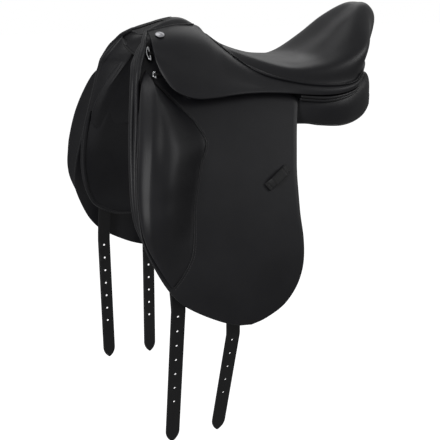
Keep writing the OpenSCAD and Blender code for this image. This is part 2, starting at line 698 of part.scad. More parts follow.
module stud(right) {
    s = 1;
    r = 0.36;
    n = skirt_normal(s, r);
    dome_r = stud_d;
    dome_h = dome_r - sqrt(dome_r ^ 2 - (stud_d / 2) ^ 2);
    color(STEEL) both_sides(right) facing(skirt_at(s, r) + n * gap, n) {
        cylinder(d = stud_d, h = 1);
        translate([0, 0, 1]) intersection() {
            translate([0, 0, dome_h - dome_r]) sphere(dome_r);
            cylinder(d = stud_d, h = dome_h + 1);
        }
    }
}

tree_head();
tree_side(false);  // left_tree_side
tree_side(true);  // right_tree_side
tree_rail(false);  // left_tree_rail
tree_rail(true);  // right_tree_rail
tree_cantle();
tree_point(false);  // left_tree_point
tree_point(true);  // right_tree_point
head_plate();
seat_webbing();
seat_foam();
seat_cover();
pommel_cap();
pommel_facing();
skirt_top(false);  // left_skirt_top
skirt_top(true);  // right_skirt_top
panel_cover(false);  // left_panel_cover
panel_cover(true);  // right_panel_cover
panel_flock(false);  // left_panel_flock
panel_flock(true);  // right_panel_flock
sweat_flap(false);  // left_sweat_flap
sweat_flap(true);  // right_sweat_flap
flap_head(false);  // left_flap_head
flap_head(true);  // right_flap_head
girth_web(false);  // left_girth_web
girth_web(true);  // right_girth_web
strap_top(front_strap, false);  // left_front_strap_top
strap_top(rear_strap, false);  // left_rear_strap_top
strap_top(front_strap, true);  // right_front_strap_top
strap_top(rear_strap, true);  // right_rear_strap_top
stirrup_bar(false);  // left_stirrup_bar
stirrup_bar(true);  // right_stirrup_bar
bar_rivets(false);  // left_bar_rivets
bar_rivets(true);  // right_bar_rivets
dee_chapes(false);  // left_dee_chapes
dee_chapes(true);  // right_dee_chapes
stud(false);  // left_stud
stud(true);  // right_stud
flap(false);  // left_flap
flap(true);  // right_flap
knee_block(false);  // left_knee_block
knee_block(true);  // right_knee_block
keeper(false);  // left_keeper
keeper(true);  // right_keeper
skirt(false);  // left_skirt
skirt(true);  // right_skirt
billet(front_strap, false);  // left_front_billet
billet(rear_strap, false);  // left_rear_billet
billet(front_strap, true);  // right_front_billet
billet(rear_strap, true);  // right_rear_billet
dee(upper_dee, dee_r, false);  // left_upper_dee
dee(upper_dee, dee_r, true);  // right_upper_dee
dee(lower_dee, small_dee_r, false);  // left_lower_dee
dee(lower_dee, small_dee_r, true);  // right_lower_dee
bar_catch(false);  // left_bar_catch
bar_catch(true);  // right_bar_catch
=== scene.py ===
import json
import math
import bpy
import numpy as np
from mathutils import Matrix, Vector


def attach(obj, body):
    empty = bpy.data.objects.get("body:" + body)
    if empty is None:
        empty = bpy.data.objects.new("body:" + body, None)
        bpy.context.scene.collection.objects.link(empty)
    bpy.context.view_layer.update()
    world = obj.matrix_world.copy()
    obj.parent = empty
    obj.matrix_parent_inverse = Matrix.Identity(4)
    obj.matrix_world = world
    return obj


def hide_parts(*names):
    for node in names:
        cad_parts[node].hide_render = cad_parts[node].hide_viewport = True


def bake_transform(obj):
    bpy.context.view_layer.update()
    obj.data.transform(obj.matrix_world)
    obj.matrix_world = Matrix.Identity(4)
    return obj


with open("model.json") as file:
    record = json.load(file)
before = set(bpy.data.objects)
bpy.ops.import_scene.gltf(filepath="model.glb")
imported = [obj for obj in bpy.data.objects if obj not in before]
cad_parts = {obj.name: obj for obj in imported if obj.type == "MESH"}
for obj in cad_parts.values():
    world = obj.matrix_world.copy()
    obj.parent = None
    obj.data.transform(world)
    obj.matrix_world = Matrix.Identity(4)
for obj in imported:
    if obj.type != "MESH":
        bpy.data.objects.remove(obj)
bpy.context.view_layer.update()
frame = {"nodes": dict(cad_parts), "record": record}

# All shapes are worked out in millimetres and made in metres
MM = 0.001


def unit(v):
    v = np.asarray(v, float)
    return v / np.maximum(np.linalg.norm(v, axis=-1, keepdims=True), 1e-12)


def lerp(a, b, t):
    return a + (b - a) * t


def curve(keys, t):
    """Smooth curve through keys (position, value); t may be an array."""
    k = np.array([p for p, _ in keys], float)
    v = np.array([q for _, q in keys], float)
    n = len(k)
    lo = np.maximum(np.arange(n) - 1, 0)
    hi = np.minimum(np.arange(n) + 1, n - 1)
    span = k[hi] - k[lo]
    slope = (v[hi] - v[lo]) / (span[:, None] if v.ndim > 1 else span)
    t = np.asarray(t, float)
    i = np.clip(np.searchsorted(k, t, side="right") - 1, 0, n - 2)
    w = k[i + 1] - k[i]
    u = (t - k[i]) / w
    if v.ndim > 1:
        u = u[..., None]
        w = w[..., None]
    a = 2 * u ** 3 - 3 * u ** 2 + 1
    b = u ** 3 - 2 * u ** 2 + u
    c = 3 * u ** 2 - 2 * u ** 3
    d = u ** 3 - u ** 2
    return a * v[i] + b * w * slope[i] + c * v[i + 1] + d * w * slope[i + 1]


def even(points):
    last = len(points) - 1
    return [(i / last, p) for i, p in enumerate(points)]


def steps(n, a=0.0, b=1.0):
    return np.linspace(a, b, n + 1)


def smooth_step(t):
    t = np.clip(t, 0, 1)
    return t * t * (3 - 2 * t)


def along(points, count):
    """The same line with evenly spaced points."""
    points = np.asarray(points, float)
    run = np.concatenate([[0], np.cumsum(np.linalg.norm(np.diff(points, axis=0), axis=1))])
    at = np.linspace(0, run[-1], count)
    return np.stack([np.interp(at, run, points[:, c]) for c in range(3)], axis=1)


def soften(rows, times):
    """Moves each inner row halfway to the mean of its neighbours, in place."""
    for _ in range(times):
        rows[1:-1] = 0.5 * rows[1:-1] + 0.25 * (rows[:-2] + rows[2:])


def at_height(line, z, column=0):
    """A coordinate of a falling line where its last coordinate is z."""
    return np.interp(-z, -line[:, -1], line[:, column])


# Sizes of the saddle
SEAT_LEN = 445
HALF_W = 121
POMMEL = 200
CANTLE = 219
CHAN = 35
PANEL_SIDE = 126
FLAP_DROP = 350
FLAP_W = 280
SPREAD = 235
FLAP_T = 4.5
SWEAT_T = 3.5
SKIRT_T = 4
BLOCK_H = 60
BILLET_W = 24
BILLET_T = 3.5
GAP = 0.5
COVER_T = 2
FOAM_T = 13

# Seat: stations from the front tongue over the cantle rim and down its back
STUD_AT = (50, -236, 168)
CANTLE_Y = STUD_AT[1] + math.sqrt(SEAT_LEN ** 2 - STUD_AT[0] ** 2 - (CANTLE - STUD_AT[2]) ** 2)
W = HALF_W
seat_rows = [
    [(0, -128, 171), (2.5, -128, 171), (4.5, -128.5, 170.5), (6, -129, 170)],
    [(0, -105, 154), (20, -106, 153.5), (38, -110, 151.5), (50, -114, 147.5)],
    [(0, -60, 139), (40, -62, 138), (W - 49, -67, 131), (W - 29, -72, 111)],
    [(0, -5, 130), (52, -6, 129), (W - 25, -8, 115), (W - 8, -10, 93)],
    [(0, 45, 132), (58, 45, 131.5), (W - 16, 48, 118.5), (W, 50, 85)],
]
seat_rear_rows = [
    [(0, -112, 156), (56, -109, 161.5), (W - 18, -105, 133), (W - 4, -102, 86)],
    [(0, -68, 189), (50, -65, 194), (W - 25, -63, 150), (W - 15, -77, 95)],
    [(0, -25, 219), (37, -28, 213.5), (W - 38, -42, 160), (W - 24, -65, 105)],
    [(0, 0, 215), (37, -7, 204), (W - 46, -39, 155), (W - 27, -63, 108)],
    [(0, 4, 192), (40, -4, 182), (W - 51, -40, 140), (W - 31, -60, 109)],
    [(0, -6, 120), (34, -19, 118), (W - 54, -42, 114), (W - 35, -57, 110)],
]
seat_rows += [[(x, y + CANTLE_Y, z) for x, y, z in row] for row in seat_rear_rows]
seat_key = [[(i, r[c]) for i, r in enumerate(seat_rows)] for c in range(4)]
SEAT_END = len(seat_rows) - 1
EDGE_KEY = 3
FLIP = np.array([-1, 1, 1])

# How far the padded side of the seat bulges, by station
ROLL_FROM = 1.6
seat_roll = list(enumerate([0, 0, 1, 3, 4, 5, 4, 2, 1, 0, 0]))


def seat_grid(ts, vs):
    """Seat surface at stations ts; vs run from -1 to 1 across it."""
    at = EDGE_KEY * np.asarray(vs)
    side_part = np.clip((np.abs(at) - ROLL_FROM) / (EDGE_KEY - ROLL_FROM), 0, 1)
    rows = []
    for t in ts:
        c = [curve(k, t) for k in seat_key]
        keys = [(-k, c[k] * FLIP) for k in (3, 2, 1)]
        keys += [(k, c[k]) for k in range(4)]
        row = curve(keys, at)
        fall = c[3] - c[2]
        out = unit((-fall[2], 0, fall[0]))
        swell = float(curve(seat_roll, t)) * np.sin(np.pi * side_part) ** 2
        row[:, 0] += swell * out[0] * np.sign(at)
        row[:, 2] += swell * out[2]
        rows.append(row)
    return np.array(rows)


def seam_at(t):
    return curve(seat_key[3], t)


# Cut-back pommel
cap_seam = np.array([(38.5, -251, 181), (36, -236, 184), (22, -196, 189), (0, -152, 188)], float)
notch_edge = np.array([(36, -252.5, 181), (30, -238, 185), (16, -211, 195), (0, -193, 200)], float)
notch_low = np.array([(35.5, -252.5, 176), (26, -235, 171), (13, -207, 182), (0, -190, 187)], float)
apron_top = np.array([(35, -248.5, 176), (27, -231, 174), (13, -203, 184), (0, -186, 189)], float)
apron_low = np.array([(60, -263, 166), (44, -262, 151), (22, -256, 140), (0, -252, 137)], float)
CAP_CROWN = 4


def half_curve(pts, u):
    both = np.concatenate([pts * FLIP, pts[-2::-1]])
    return curve(even(both), u)


def band(upper, lower, us, rs):
    a = half_curve(upper, us)
    b = half_curve(lower, us)
    return np.array([lerp(a, b, r) for r in rs])


def cap_grid(us, rs):
    g = band(cap_seam, notch_edge, us, rs)
    g[:, :, 2] += CAP_CROWN * np.sin(np.pi * us) * np.sin(np.pi * rs)[:, None]
    return g


# Skirt: a fixed top, tucked under the seams of cap and seat, and a lobe that lifts along a straight fold
fold_a = np.array((74, -253, 152.5), float)
fold_b = np.array((118, -63, 81), float)
UNDER_CAP = np.array((1, 1, -GAP - 0.7))
UNDER_SEAT = np.array((0.8, 0, -1.4))
top_edge = [p + UNDER_CAP for p in cap_seam]
top_edge.append(np.array((0, -133, 174), float))
for t in (0.5, 1, 2, 3, 4, 5, 6, 7):
    top_edge.append(seam_at(t) + UNDER_SEAT)
fold_share = [0, 0.09, 0.3, 0.5, 0.58, 0.64, 0.71, 0.93]
strip_drop = [(8.5, 2.5, -17.5), (8.5, 5, -15.5), (5.5, 4.5, -10.5), (4, 2.5, -8.5), (3, 0.5, -7.5)]
FOLD_END = len(fold_share) - 1
TOP_END = len(top_edge) - 1
low_edge = [lerp(fold_a, fold_b, f) for f in fold_share]
for p, drop in zip(top_edge[FOLD_END + 1:], strip_drop):
    low_edge.append(p + np.array(drop))
top_bulge = [5, 8, 13, 15, 14, 11, 8, 2, 1.5, 2, 2, 2, 1]
top_key = list(enumerate(top_edge))
low_key = list(enumerate(low_edge))
bulge_key = list(enumerate(top_bulge))
share_key = list(enumerate(fold_share))
lobe_edge = even([
    (86, -254, 136), (98, -247, 114), (115.5, -232, 91), (126, -203, 79),
    (129.5, -169, 78.3), (128, -123, 82), (122, -79, 82),
])
FOLD_LAST = 0.9
FOLD_STEP = np.array((0.3, 0, -0.5))
LOBE_BULGE = np.array((5, 0, 0))
CENTRE_GAP = 2.2


def fold_at(t):
    return lerp(fold_a, fold_b, t)


def low_at(s):
    if s <= FOLD_END:
        return fold_at(curve(share_key, s))
    return curve(low_key, s)


def skirt_at(s, rs):
    p = curve(top_key, s)
    a = np.array((max(p[0], CENTRE_GAP), p[1], p[2]))
    b = low_at(s)
    out = unit((a[2] - b[2], 0, b[0] - a[0]))
    rs = np.asarray(rs)[:, None]
    return lerp(a, b, rs) + curve(bulge_key, s) * np.sin(np.pi * rs) * out


def lobe_at(t, rs):
    a = fold_at(t * FOLD_LAST) + FOLD_STEP
    b = curve(lobe_edge, t)
    rs = np.asarray(rs)[:, None]
    return lerp(a, b, rs) + LOBE_BULGE * np.sin(np.pi * rs)


# Side surfaces of the flap, the straps and the sweat flap
BEND_Z = 63
LOW_Z = BEND_Z - FLAP_DROP
HIGH_Z = 125
HIGH_X = 76
SIDE_POWER = 1.594


def flap_x(z):
    z = np.asarray(z, float)
    up = np.maximum(0, (z - LOW_Z) / (HIGH_Z - LOW_Z))
    return SPREAD - (SPREAD - HIGH_X) * up ** SIDE_POWER


# Below STAND_FROM the flap stands off the sweat flap, with the straps about halfway between
STAND = 42
STAND_FROM = 20
STAND_RUN = 210
STRAP_SHARE = 0.52
STRAP_IN = FLAP_T + GAP
SWEAT_OUT = STRAP_IN + BILLET_T + GAP


def stand(z):
    return STAND * smooth_step((STAND_FROM - np.asarray(z, float)) / STAND_RUN)


def strap_x(z):
    return flap_x(z) - STRAP_IN - STRAP_SHARE * stand(z)


def sweat_x(z):
    return flap_x(z) - SWEAT_OUT - stand(z)


# The padded edges beneath bow the front strips of flap and sweat flap outward
FLARE = 9
FLARE_LOW = -40
FLARE_RISE = 70
FLARE_HIGH = 124
FLARE_FADE = 32
FLARE_WIDE = 24
SWEAT_LOW = -130
SWEAT_FADE = 40
SWEAT_WIDE = 14


def flap_flare(z, back):
    z = np.asarray(z, float)
    full = FLARE * smooth_step((z - FLARE_LOW) / FLARE_RISE) * smooth_step((FLARE_HIGH - z) / FLARE_FADE)
    return full * (1 - smooth_step(np.asarray(back) / FLARE_WIDE))


sweat_roll = np.array([
    (36.5, -252, 178.5), (57, -262.5, 168.5), (70, -269, 158), (79, -275, 149), (84.5, -280, 140),
    (90.5, -285, 130), (97, -289, 120), (102.5, -293.5, 100), (110.5, -297, 80),
    (118.5, -300.5, 60), (129.5, -306, 30), (139, -311.5, 0), (148, -316.5, -40),
    (153, -318, -80), (154.5, -315, -112),
], float)
panel_roll = np.array([
    (54, -262, 166), (57, -266, 160), (61, -272, 152), (68, -280, 140), (76, -287, 130),
    (85, -291, 120), (94, -296.5, 100), (99.5, -300, 80), (106, -304, 60), (117, -309.5, 30),
    (128.5, -314.5, 0), (139.5, -318.5, -40), (145.5, -319.5, -80), (147, -316, -112),
], float)


def sweat_flare(z, back):
    z = np.asarray(z, float)
    full = at_height(sweat_roll, z) - sweat_x(z)
    full = full * smooth_step((z - SWEAT_LOW) / SWEAT_FADE)
    return full * (1 - smooth_step(np.asarray(back) / SWEAT_WIDE))


def side_grid(side, front, rear, ts, us, bow=None):
    a = curve(front, ts)
    b = curve(rear, ts)
    rows = []
    for p, q in zip(a, b):
        yz = lerp(p, q, np.asarray(us)[:, None])
        x = side(yz[:, 1])
        if bow:
            x = x + bow(yz[:, 1], yz[:, 0] - p[0])
        rows.append(np.stack([x, yz[:, 0], yz[:, 1]], axis=1))
    return np.array(rows)


def side_frame(y, z):
    """Point of the flap's surface with its outward, rearward and upward directions."""
    a = math.atan((float(flap_x(z - 1)) - float(flap_x(z + 1))) / 2)
    out = np.array((math.cos(a), 0, math.sin(a)))
    up = np.array((-math.sin(a), 0, math.cos(a)))
    return np.array((float(flap_x(z)), y, z)), out, np.array((0.0, 1.0, 0.0)), up


FLAP_MID = -182


def flap_edge(pts):
    return even([(FLAP_MID + a * FLAP_W, BEND_Z - b * FLAP_DROP) for a, b in pts])


flap_front = flap_edge([
    (-0.414, 0), (-0.448, 0.12), (-0.476, 0.226), (-0.498, 0.326), (-0.511, 0.431),
    (-0.508, 0.545), (-0.456, 0.663), (-0.39, 0.766), (-0.312, 0.84), (-0.216, 0.894),
    (-0.096, 0.946), (-0.02, 0.971), (0.04, 0.986),
])
flap_rear = flap_edge([
    (0.636, 0), (0.589, 0.117), (0.554, 0.223), (0.525, 0.326), (0.509, 0.431),
    (0.5, 0.523), (0.5, 0.623), (0.487, 0.717), (0.458, 0.791), (0.405, 0.862),
    (0.32, 0.928), (0.2, 0.974), (0.11, 0.992),
])
head_front = even([(-262, 149), (-274, 127), (-289.5, 95), (curve(flap_front, 0)[0], BEND_Z + GAP)])
head_rear = even([(-66, 96), (-42, 86), (-20, 75), (curve(flap_rear, 0)[0], BEND_Z + GAP)])
sweat_front = [
    (-285, 130), (-297, 80), (-305.5, 33), (-311.5, 0), (-316.5, -40),
    (-318, -80), (-311, -128), (-292, -164), (-255, -184),
]
sweat_rear = [
    (-232, 100), (-120, 56), (-78, 20), (-64, -25), (-62, -65),
    (-66, -105), (-80, -143), (-118, -176), (-175, -189),
]

# Knee block: its rear seam and its height, both from the top down
block_seam_yz = np.array([
    (-274, 119), (-269, 112.4), (-255.8, 96.7), (-239.7, 77.8), (-223.2, 59.5), (-205.3, 38.7),
    (-197.9, 25.3), (-193, 15.8), (-191.5, 6.6), (-198.4, -8), (-209.2, -25), (-231, -83),
    (-244, -149.6), (-255.8, -172.5), (-272, -191.7), (-285, -203),
])
block_lift = [
    (-120, 0), (-118.5, 0.2), (-115, 0.44), (-110, 0.62), (-100, 0.75), (-85, 0.84),
    (-70, 0.92), (-40, 1.02), (0, 1.04), (40, 0.98), (60, 0.88), (85, 0.8),
    (110, 0.62), (130, 0.4), (150, 0.26), (170, 0.14), (203, 0.04),
]
BLOCK_BACK = 7
FRONT_FALL = 0.9


def front_y(z):
    """The flap's front edge at a given height, found along the part of it that falls."""
    if z > BEND_Z:
        p = curve(head_front, np.linspace(0, 1, 200))
    else:
        p = curve(flap_front, np.linspace(0, FRONT_FALL, 400))
    return float(at_height(p, z))


# Girth straps: centre y, height of the bend, inward lean, length, forward slant
WEB_LOW = -22
straps = {
    "front": (-269, -250, 5.5, 254, 1.3),
    "rear": (-172, -309, 9.7, 200, 4.2),
}
TIP_ROOM = 80
PITCH = 27
HOLE_R = 2.5


# Meshes: vertices in millimetres and faces anticlockwise seen from outside
def grid_mesh(g):
    nr, nc = g.shape[:2]
    verts = g.reshape(-1, 3)
    faces = []
    for i in range(nr - 1):
        for j in range(nc - 1):
            a = i * nc + j
            faces.append((a, a + nc, a + nc + 1, a + 1))
    return verts, faces


def normals_of(verts, faces):
    n = np.zeros_like(verts)
    for f in faces:
        p = verts[list(f)]
        c = np.cross(p[1] - p[0], p[2] - p[0])
        if len(f) == 4:
            c = c + np.cross(p[2] - p[0], p[3] - p[0])
        for i in f:
            n[i] += c
    return unit(n)


def thicken(verts, faces, t, bulge, segs=5):
    """Closed sheet of thickness t below an open surface, with a rounded rim."""
    n = normals_of(verts, faces)
    count = len(verts)
    seen = {pair for f in faces for pair in zip(f, f[1:] + f[:1])}
    after = {a: b for a, b in seen if (b, a) not in seen}
    before = {b: a for a, b in after.items()}
    parts = [verts, verts - n * t]
    out = list(faces)
    out += [tuple(i + count for i in reversed(f)) for f in faces]
    edge = sorted(after)
    place = {v: i for i, v in enumerate(edge)}
    e = np.array(edge)
    tangent = verts[[after[v] for v in edge]] - verts[[before[v] for v in edge]]
    side = unit(np.cross(tangent, n[e]))
    m = len(edge)
    for k in range(1, segs):
        a = math.pi * k / segs
        parts.append(verts[e] + n[e] * (t / 2) * (math.cos(a) - 1) + side * bulge * math.sin(a))

    def at(v, k):
        if k == 0:
            return v
        if k == segs:
            return v + count
        return 2 * count + (k - 1) * m + place[v]

    for v in edge:
        w = after[v]
        for k in range(segs):
            out.append((at(w, k), at(v, k), at(v, k + 1), at(w, k + 1)))
    return np.concatenate(parts), out


def sheet(grid, t, bulge):
    return thicken(*grid_mesh(grid), t, bulge)


def loft(rings, tips=()):
    """Solid through rings of points, closed by a tip at each end if tips are given."""
    n = len(rings[0])
    last = len(rings) - 1
    verts = list(np.concatenate(rings))
    faces = []
    for i in range(last):
        for j in range(n):
            k = (j + 1) % n
            faces.append((i * n + j, i * n + k, (i + 1) * n + k, (i + 1) * n + j))
    for i, tip in zip((0, last), tips):
        for j in range(n):
            f = (i * n + j, i * n + (j + 1) % n, len(verts))
            faces.append(f if i else f[::-1])
        verts.append(tip)
    return np.array(verts), faces


STEEP = 0.9
END_ROUND = 0.7


def tube(points, r, sides=10, ends=True):
    """Round tube along a line, with rounded ends."""
    p = np.asarray(points, float)
    r = np.broadcast_to(r, len(p))
    d = unit(np.gradient(p, axis=0))
    up = np.array((0.0, 0.0, 1.0))
    if abs(d[0] @ up) > STEEP:
        up = np.array((0.0, 1.0, 0.0))
    a = unit(np.cross(d[0], up))
    ang = np.arange(sides) * 2 * math.pi / sides
    rings = []
    for i in range(len(p)):
        a = unit(a - d[i] * (a @ d[i]))
        b = np.cross(d[i], a)
        rings.append(p[i] + r[i] * (np.cos(ang)[:, None] * a + np.sin(ang)[:, None] * b))
    if not ends:
        return loft(rings)
    return loft(rings, [p[0] - d[0] * r[0] * END_ROUND, p[-1] + d[-1] * r[-1] * END_ROUND])


def joined(*meshes):
    verts = []
    faces = []
    base = 0
    for v, f in meshes:
        verts.append(v)
        faces += [tuple(i + base for i in face) for face in f]
        base += len(v)
    return np.concatenate(verts), faces


STITCH_SINK = 0.5
STITCH_RISE = 0.12
STITCH_FLAT = 0.28
STITCH_LIFT = 0.1


def stitches(points, normals, pitch=4.0, long=2.7, r=0.42):
    """Row of thread stitches lying on a surface, their ends sunk into it."""
    run = np.linalg.norm(np.diff(points, axis=0), axis=1).sum()
    count = max(2, int(run / pitch))
    p = along(points, count * 2 + 1)
    n = unit(along(normals, count * 2 + 1))
    meshes = []
    for i in range(1, count * 2, 2):
        d = unit(p[i + 1] - p[i - 1])
        up = unit(n[i] - d * (n[i] @ d))
        mid = p[i] + up * STITCH_LIFT
        line = [mid - d * long / 2 - up * STITCH_SINK, mid - d * long * STITCH_FLAT + up * STITCH_RISE]
        line += [mid + d * long * STITCH_FLAT + up * STITCH_RISE, mid + d * long / 2 - up * STITCH_SINK]
        meshes.append(tube(line, r, sides=6, ends=False))
    return joined(*meshes)


def mirrored(mesh):
    v, f = mesh
    return v * FLIP, [tuple(reversed(face)) for face in f]


def new_object(name, data):
    obj = bpy.data.objects.new(name, data)
    bpy.context.scene.collection.objects.link(obj)
    return obj


def add(name, mesh, material, body="saddle", slot="black_leather", nodes=(), blend=None):
    """Makes a piece; a piece given blend, a (body, start, end), gets no parent and has its transform
    baked into its mesh; the body, start and end are not used.
    """
    v, f = mesh
    data = bpy.data.meshes.new(name)
    data.from_pydata([tuple(p) for p in np.asarray(v) * MM], [], [tuple(q) for q in f])
    data.validate()
    data.shade_smooth()
    data.materials.append(material)
    obj = new_object(name, data)
    if blend:
        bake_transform(obj)
    else:
        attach(obj, body)
    if nodes:
        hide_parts(*nodes)
    return obj


# Materials
def new_material(name):
    m = bpy.data.materials.new(name)
    m.use_nodes = True
    nt = m.node_tree
    nt.nodes.clear()
    out = nt.nodes.new("ShaderNodeOutputMaterial")
    bsdf = nt.nodes.new("ShaderNodeBsdfPrincipled")
    nt.links.new(bsdf.outputs["BSDF"], out.inputs["Surface"])
    coord = nt.nodes.new("ShaderNodeTexCoord")
    return m, nt, bsdf, coord.outputs["Object"]


def tex(nt, kind, output, vector, scale, **sockets):
    node = nt.nodes.new(kind)
    nt.links.new(vector, node.inputs["Vector"])
    node.inputs["Scale"].default_value = scale
    for key, value in sockets.items():
        node.inputs[key].default_value = value
    return node.outputs[output]


def noise(nt, vector, scale, **sockets):
    return tex(nt, "ShaderNodeTexNoise", "Fac", vector, scale, **sockets)


def cells(nt, vector, scale):
    return tex(nt, "ShaderNodeTexVoronoi", "Distance", vector, scale)


def tones(nt, bsdf, factor, stops):
    """Two tones of the surface, mixed by factor."""
    node = nt.nodes.new("ShaderNodeValToRGB")
    nt.links.new(factor, node.inputs["Fac"])
    for e, (pos, colour) in zip(node.color_ramp.elements, stops):
        e.position = pos
        e.color = (*colour, 1)
    nt.links.new(node.outputs["Color"], bsdf.inputs["Base Color"])


def span_of(nt, factor, lo, hi):
    node = nt.nodes.new("ShaderNodeMapRange")
    nt.links.new(factor, node.inputs["Value"])
    node.inputs["To Min"].default_value = lo
    node.inputs["To Max"].default_value = hi
    return node.outputs["Result"]


def bump(nt, height, strength, distance, normal=None):
    node = nt.nodes.new("ShaderNodeBump")
    node.inputs["Strength"].default_value = strength
    node.inputs["Distance"].default_value = distance
    nt.links.new(height, node.inputs["Height"])
    if normal is not None:
        nt.links.new(normal, node.inputs["Normal"])
    return node.outputs["Normal"]


def leather(name, dark, light, rough_lo, rough_hi, grain=900.0, depth=0.25, specular=0.26):
    """Satin leather: fine pebble grain over soft creases, with slow changes of tone and gloss."""
    m, nt, bsdf, at = new_material(name)
    slow = noise(nt, at, 14.0, Detail=3.0, Roughness=0.55)
    pores = cells(nt, at, grain)
    fine = noise(nt, at, grain * 0.45, Detail=4.0, Roughness=0.6)
    tones(nt, bsdf, slow, [(0.3, dark), (0.72, light)])
    nt.links.new(span_of(nt, slow, rough_lo, rough_hi), bsdf.inputs["Roughness"])
    first = bump(nt, fine, depth * 0.5, 0.0004)
    nt.links.new(bump(nt, pores, depth, 0.0003, first), bsdf.inputs["Normal"])
    bsdf.inputs["Specular IOR Level"].default_value = specular
    return m


black = leather("black_leather", (0.0055, 0.0055, 0.0068), (0.009, 0.009, 0.0105), 0.40, 0.50)
seat_black = leather("seat_leather", (0.006, 0.006, 0.0072), (0.010, 0.010, 0.0115), 0.36, 0.46,
                     grain=750.0, depth=0.2)
strap_black = leather("strap_leather", (0.005, 0.005, 0.0055), (0.008, 0.008, 0.0085), 0.46, 0.58,
                      grain=700.0, depth=0.35)
edge_black = leather("edge_leather", (0.007, 0.007, 0.008), (0.012, 0.012, 0.013), 0.30, 0.42,
                     grain=1200.0, depth=0.15)


def thread_material():
    m, nt, bsdf, at = new_material("black_thread")
    twist = noise(nt, at, 2500.0, Detail=2.0)
    tones(nt, bsdf, twist, [(0.3, (0.012, 0.012, 0.013)), (0.7, (0.03, 0.03, 0.032))])
    nt.links.new(bump(nt, twist, 0.4, 0.0003), bsdf.inputs["Normal"])
    bsdf.inputs["Roughness"].default_value = 0.6
    return m


def metal_material(name, colour, rough_lo, rough_hi, scratch):
    m, nt, bsdf, at = new_material(name)
    marks = noise(nt, at, 420.0, Detail=5.0)
    slow = noise(nt, at, 60.0, Detail=2.0)
    shade = tuple(c * 0.9 for c in colour)
    tones(nt, bsdf, slow, [(0.35, shade), (0.65, colour)])
    nt.links.new(span_of(nt, marks, rough_lo, rough_hi), bsdf.inputs["Roughness"])
    nt.links.new(bump(nt, marks, scratch, 0.0002), bsdf.inputs["Normal"])
    bsdf.inputs["Metallic"].default_value = 1.0
    return m


def wood_material():
    m, nt, bsdf, at = new_material("beech")
    stretch = nt.nodes.new("ShaderNodeMapping")
    stretch.inputs["Scale"].default_value = (1.0, 0.12, 1.0)
    nt.links.new(at, stretch.inputs["Vector"])
    grain = noise(nt, stretch.outputs["Vector"], 130.0, Detail=6.0, Roughness=0.65)
    flecks = cells(nt, stretch.outputs["Vector"], 500.0)
    tones(nt, bsdf, grain, [(0.3, (0.36, 0.22, 0.11)), (0.7, (0.62, 0.45, 0.28))])
    first = bump(nt, grain, 0.2, 0.0005)
    nt.links.new(bump(nt, flecks, 0.15, 0.0004, first), bsdf.inputs["Normal"])
    nt.links.new(span_of(nt, grain, 0.45, 0.62), bsdf.inputs["Roughness"])
    return m


def cloth_material(name, dark, light, scale):
    m, nt, bsdf, at = new_material(name)
    weave = cells(nt, at, scale)
    fuzz = noise(nt, at, scale * 0.4, Detail=4.0)
    tones(nt, bsdf, fuzz, [(0.3, dark), (0.7, light)])
    nt.links.new(bump(nt, weave, 0.5, 0.0006), bsdf.inputs["Normal"])
    bsdf.inputs["Roughness"].default_value = 0.9
    bsdf.inputs["Sheen Weight"].default_value = 0.2
    return m


thread = thread_material()
chrome = metal_material("chrome", (0.72, 0.73, 0.75), 0.2, 0.32, 0.03)
steel = metal_material("steel", (0.55, 0.56, 0.58), 0.25, 0.42, 0.08)
satin = metal_material("satin_nickel", (0.42, 0.42, 0.44), 0.34, 0.46, 0.05)
beech = wood_material()
webbing = cloth_material("webbing", (0.30, 0.26, 0.19), (0.48, 0.42, 0.32), 700.0)
foam = cloth_material("foam", (0.68, 0.62, 0.42), (0.82, 0.77, 0.58), 900.0)
dark_lining = cloth_material("lining", (0.010, 0.010, 0.011), (0.022, 0.022, 0.024), 1200.0)

SLOT_LOOK = {
    "black_leather": black, "chrome": chrome, "steel": steel, "beech": beech,
    "webbing": webbing, "foam": foam, "flock": foam,
}
slot_of = {p["node"]: p["material_slot"] for p in frame["record"]["subparts"]}
for name, obj in frame["nodes"].items():
    look = satin if name.endswith("_stud") else SLOT_LOOK[slot_of[name]]
    obj.data.materials.clear()
    obj.data.materials.append(look)

# Seat, its foam and the webbing under it
WEB_T = 2
WEB_HALF = 0.13
LAYER_GAP = 1.9 * GAP
FOAM_SPAN = (0.8, 7.6)
WEB_SPAN = (1.6, 6.4)
SOFT_EDGE = 0.6
THIN_EDGE = 0.4


def under_seat(ts, vs, depth, t, bulge):
    """Sheet of thickness t that follows the seat's surface at a depth below it."""
    v, f = grid_mesh(seat_grid(ts, vs))
    return thicken(v - normals_of(v, f) * depth, f, t, bulge)


seat = sheet(seat_grid(steps(130, 0, SEAT_END), steps(72, 1, -1)), COVER_T, 0.8)
cushion = add("seat", seat, seat_black, nodes=["seat_cover"])
padding = under_seat(steps(50, *FOAM_SPAN), steps(36, 0.9, -0.9), COVER_T + LAYER_GAP, FOAM_T, 1.5)
pad = add("seat_padding", padding, foam, slot="foam", nodes=["seat_foam"])
web_depth = COVER_T + FOAM_T + 2 * LAYER_GAP
web_meshes = []
for middle in (-0.3, 0, 0.3):
    across = steps(10, middle + WEB_HALF, middle - WEB_HALF)
    web_meshes.append(under_seat(steps(60, *WEB_SPAN), across, web_depth, WEB_T, SOFT_EDGE))
add("seat_webs", joined(*web_meshes), webbing, slot="webbing", nodes=["seat_webbing"])


# Pommel cap, facing, apron and their welts
def edge_welt(name, edge, shift, r):
    line = half_curve(edge, steps(90)) + np.array(shift)
    add(name, tube(along(line, 110), r), edge_black)


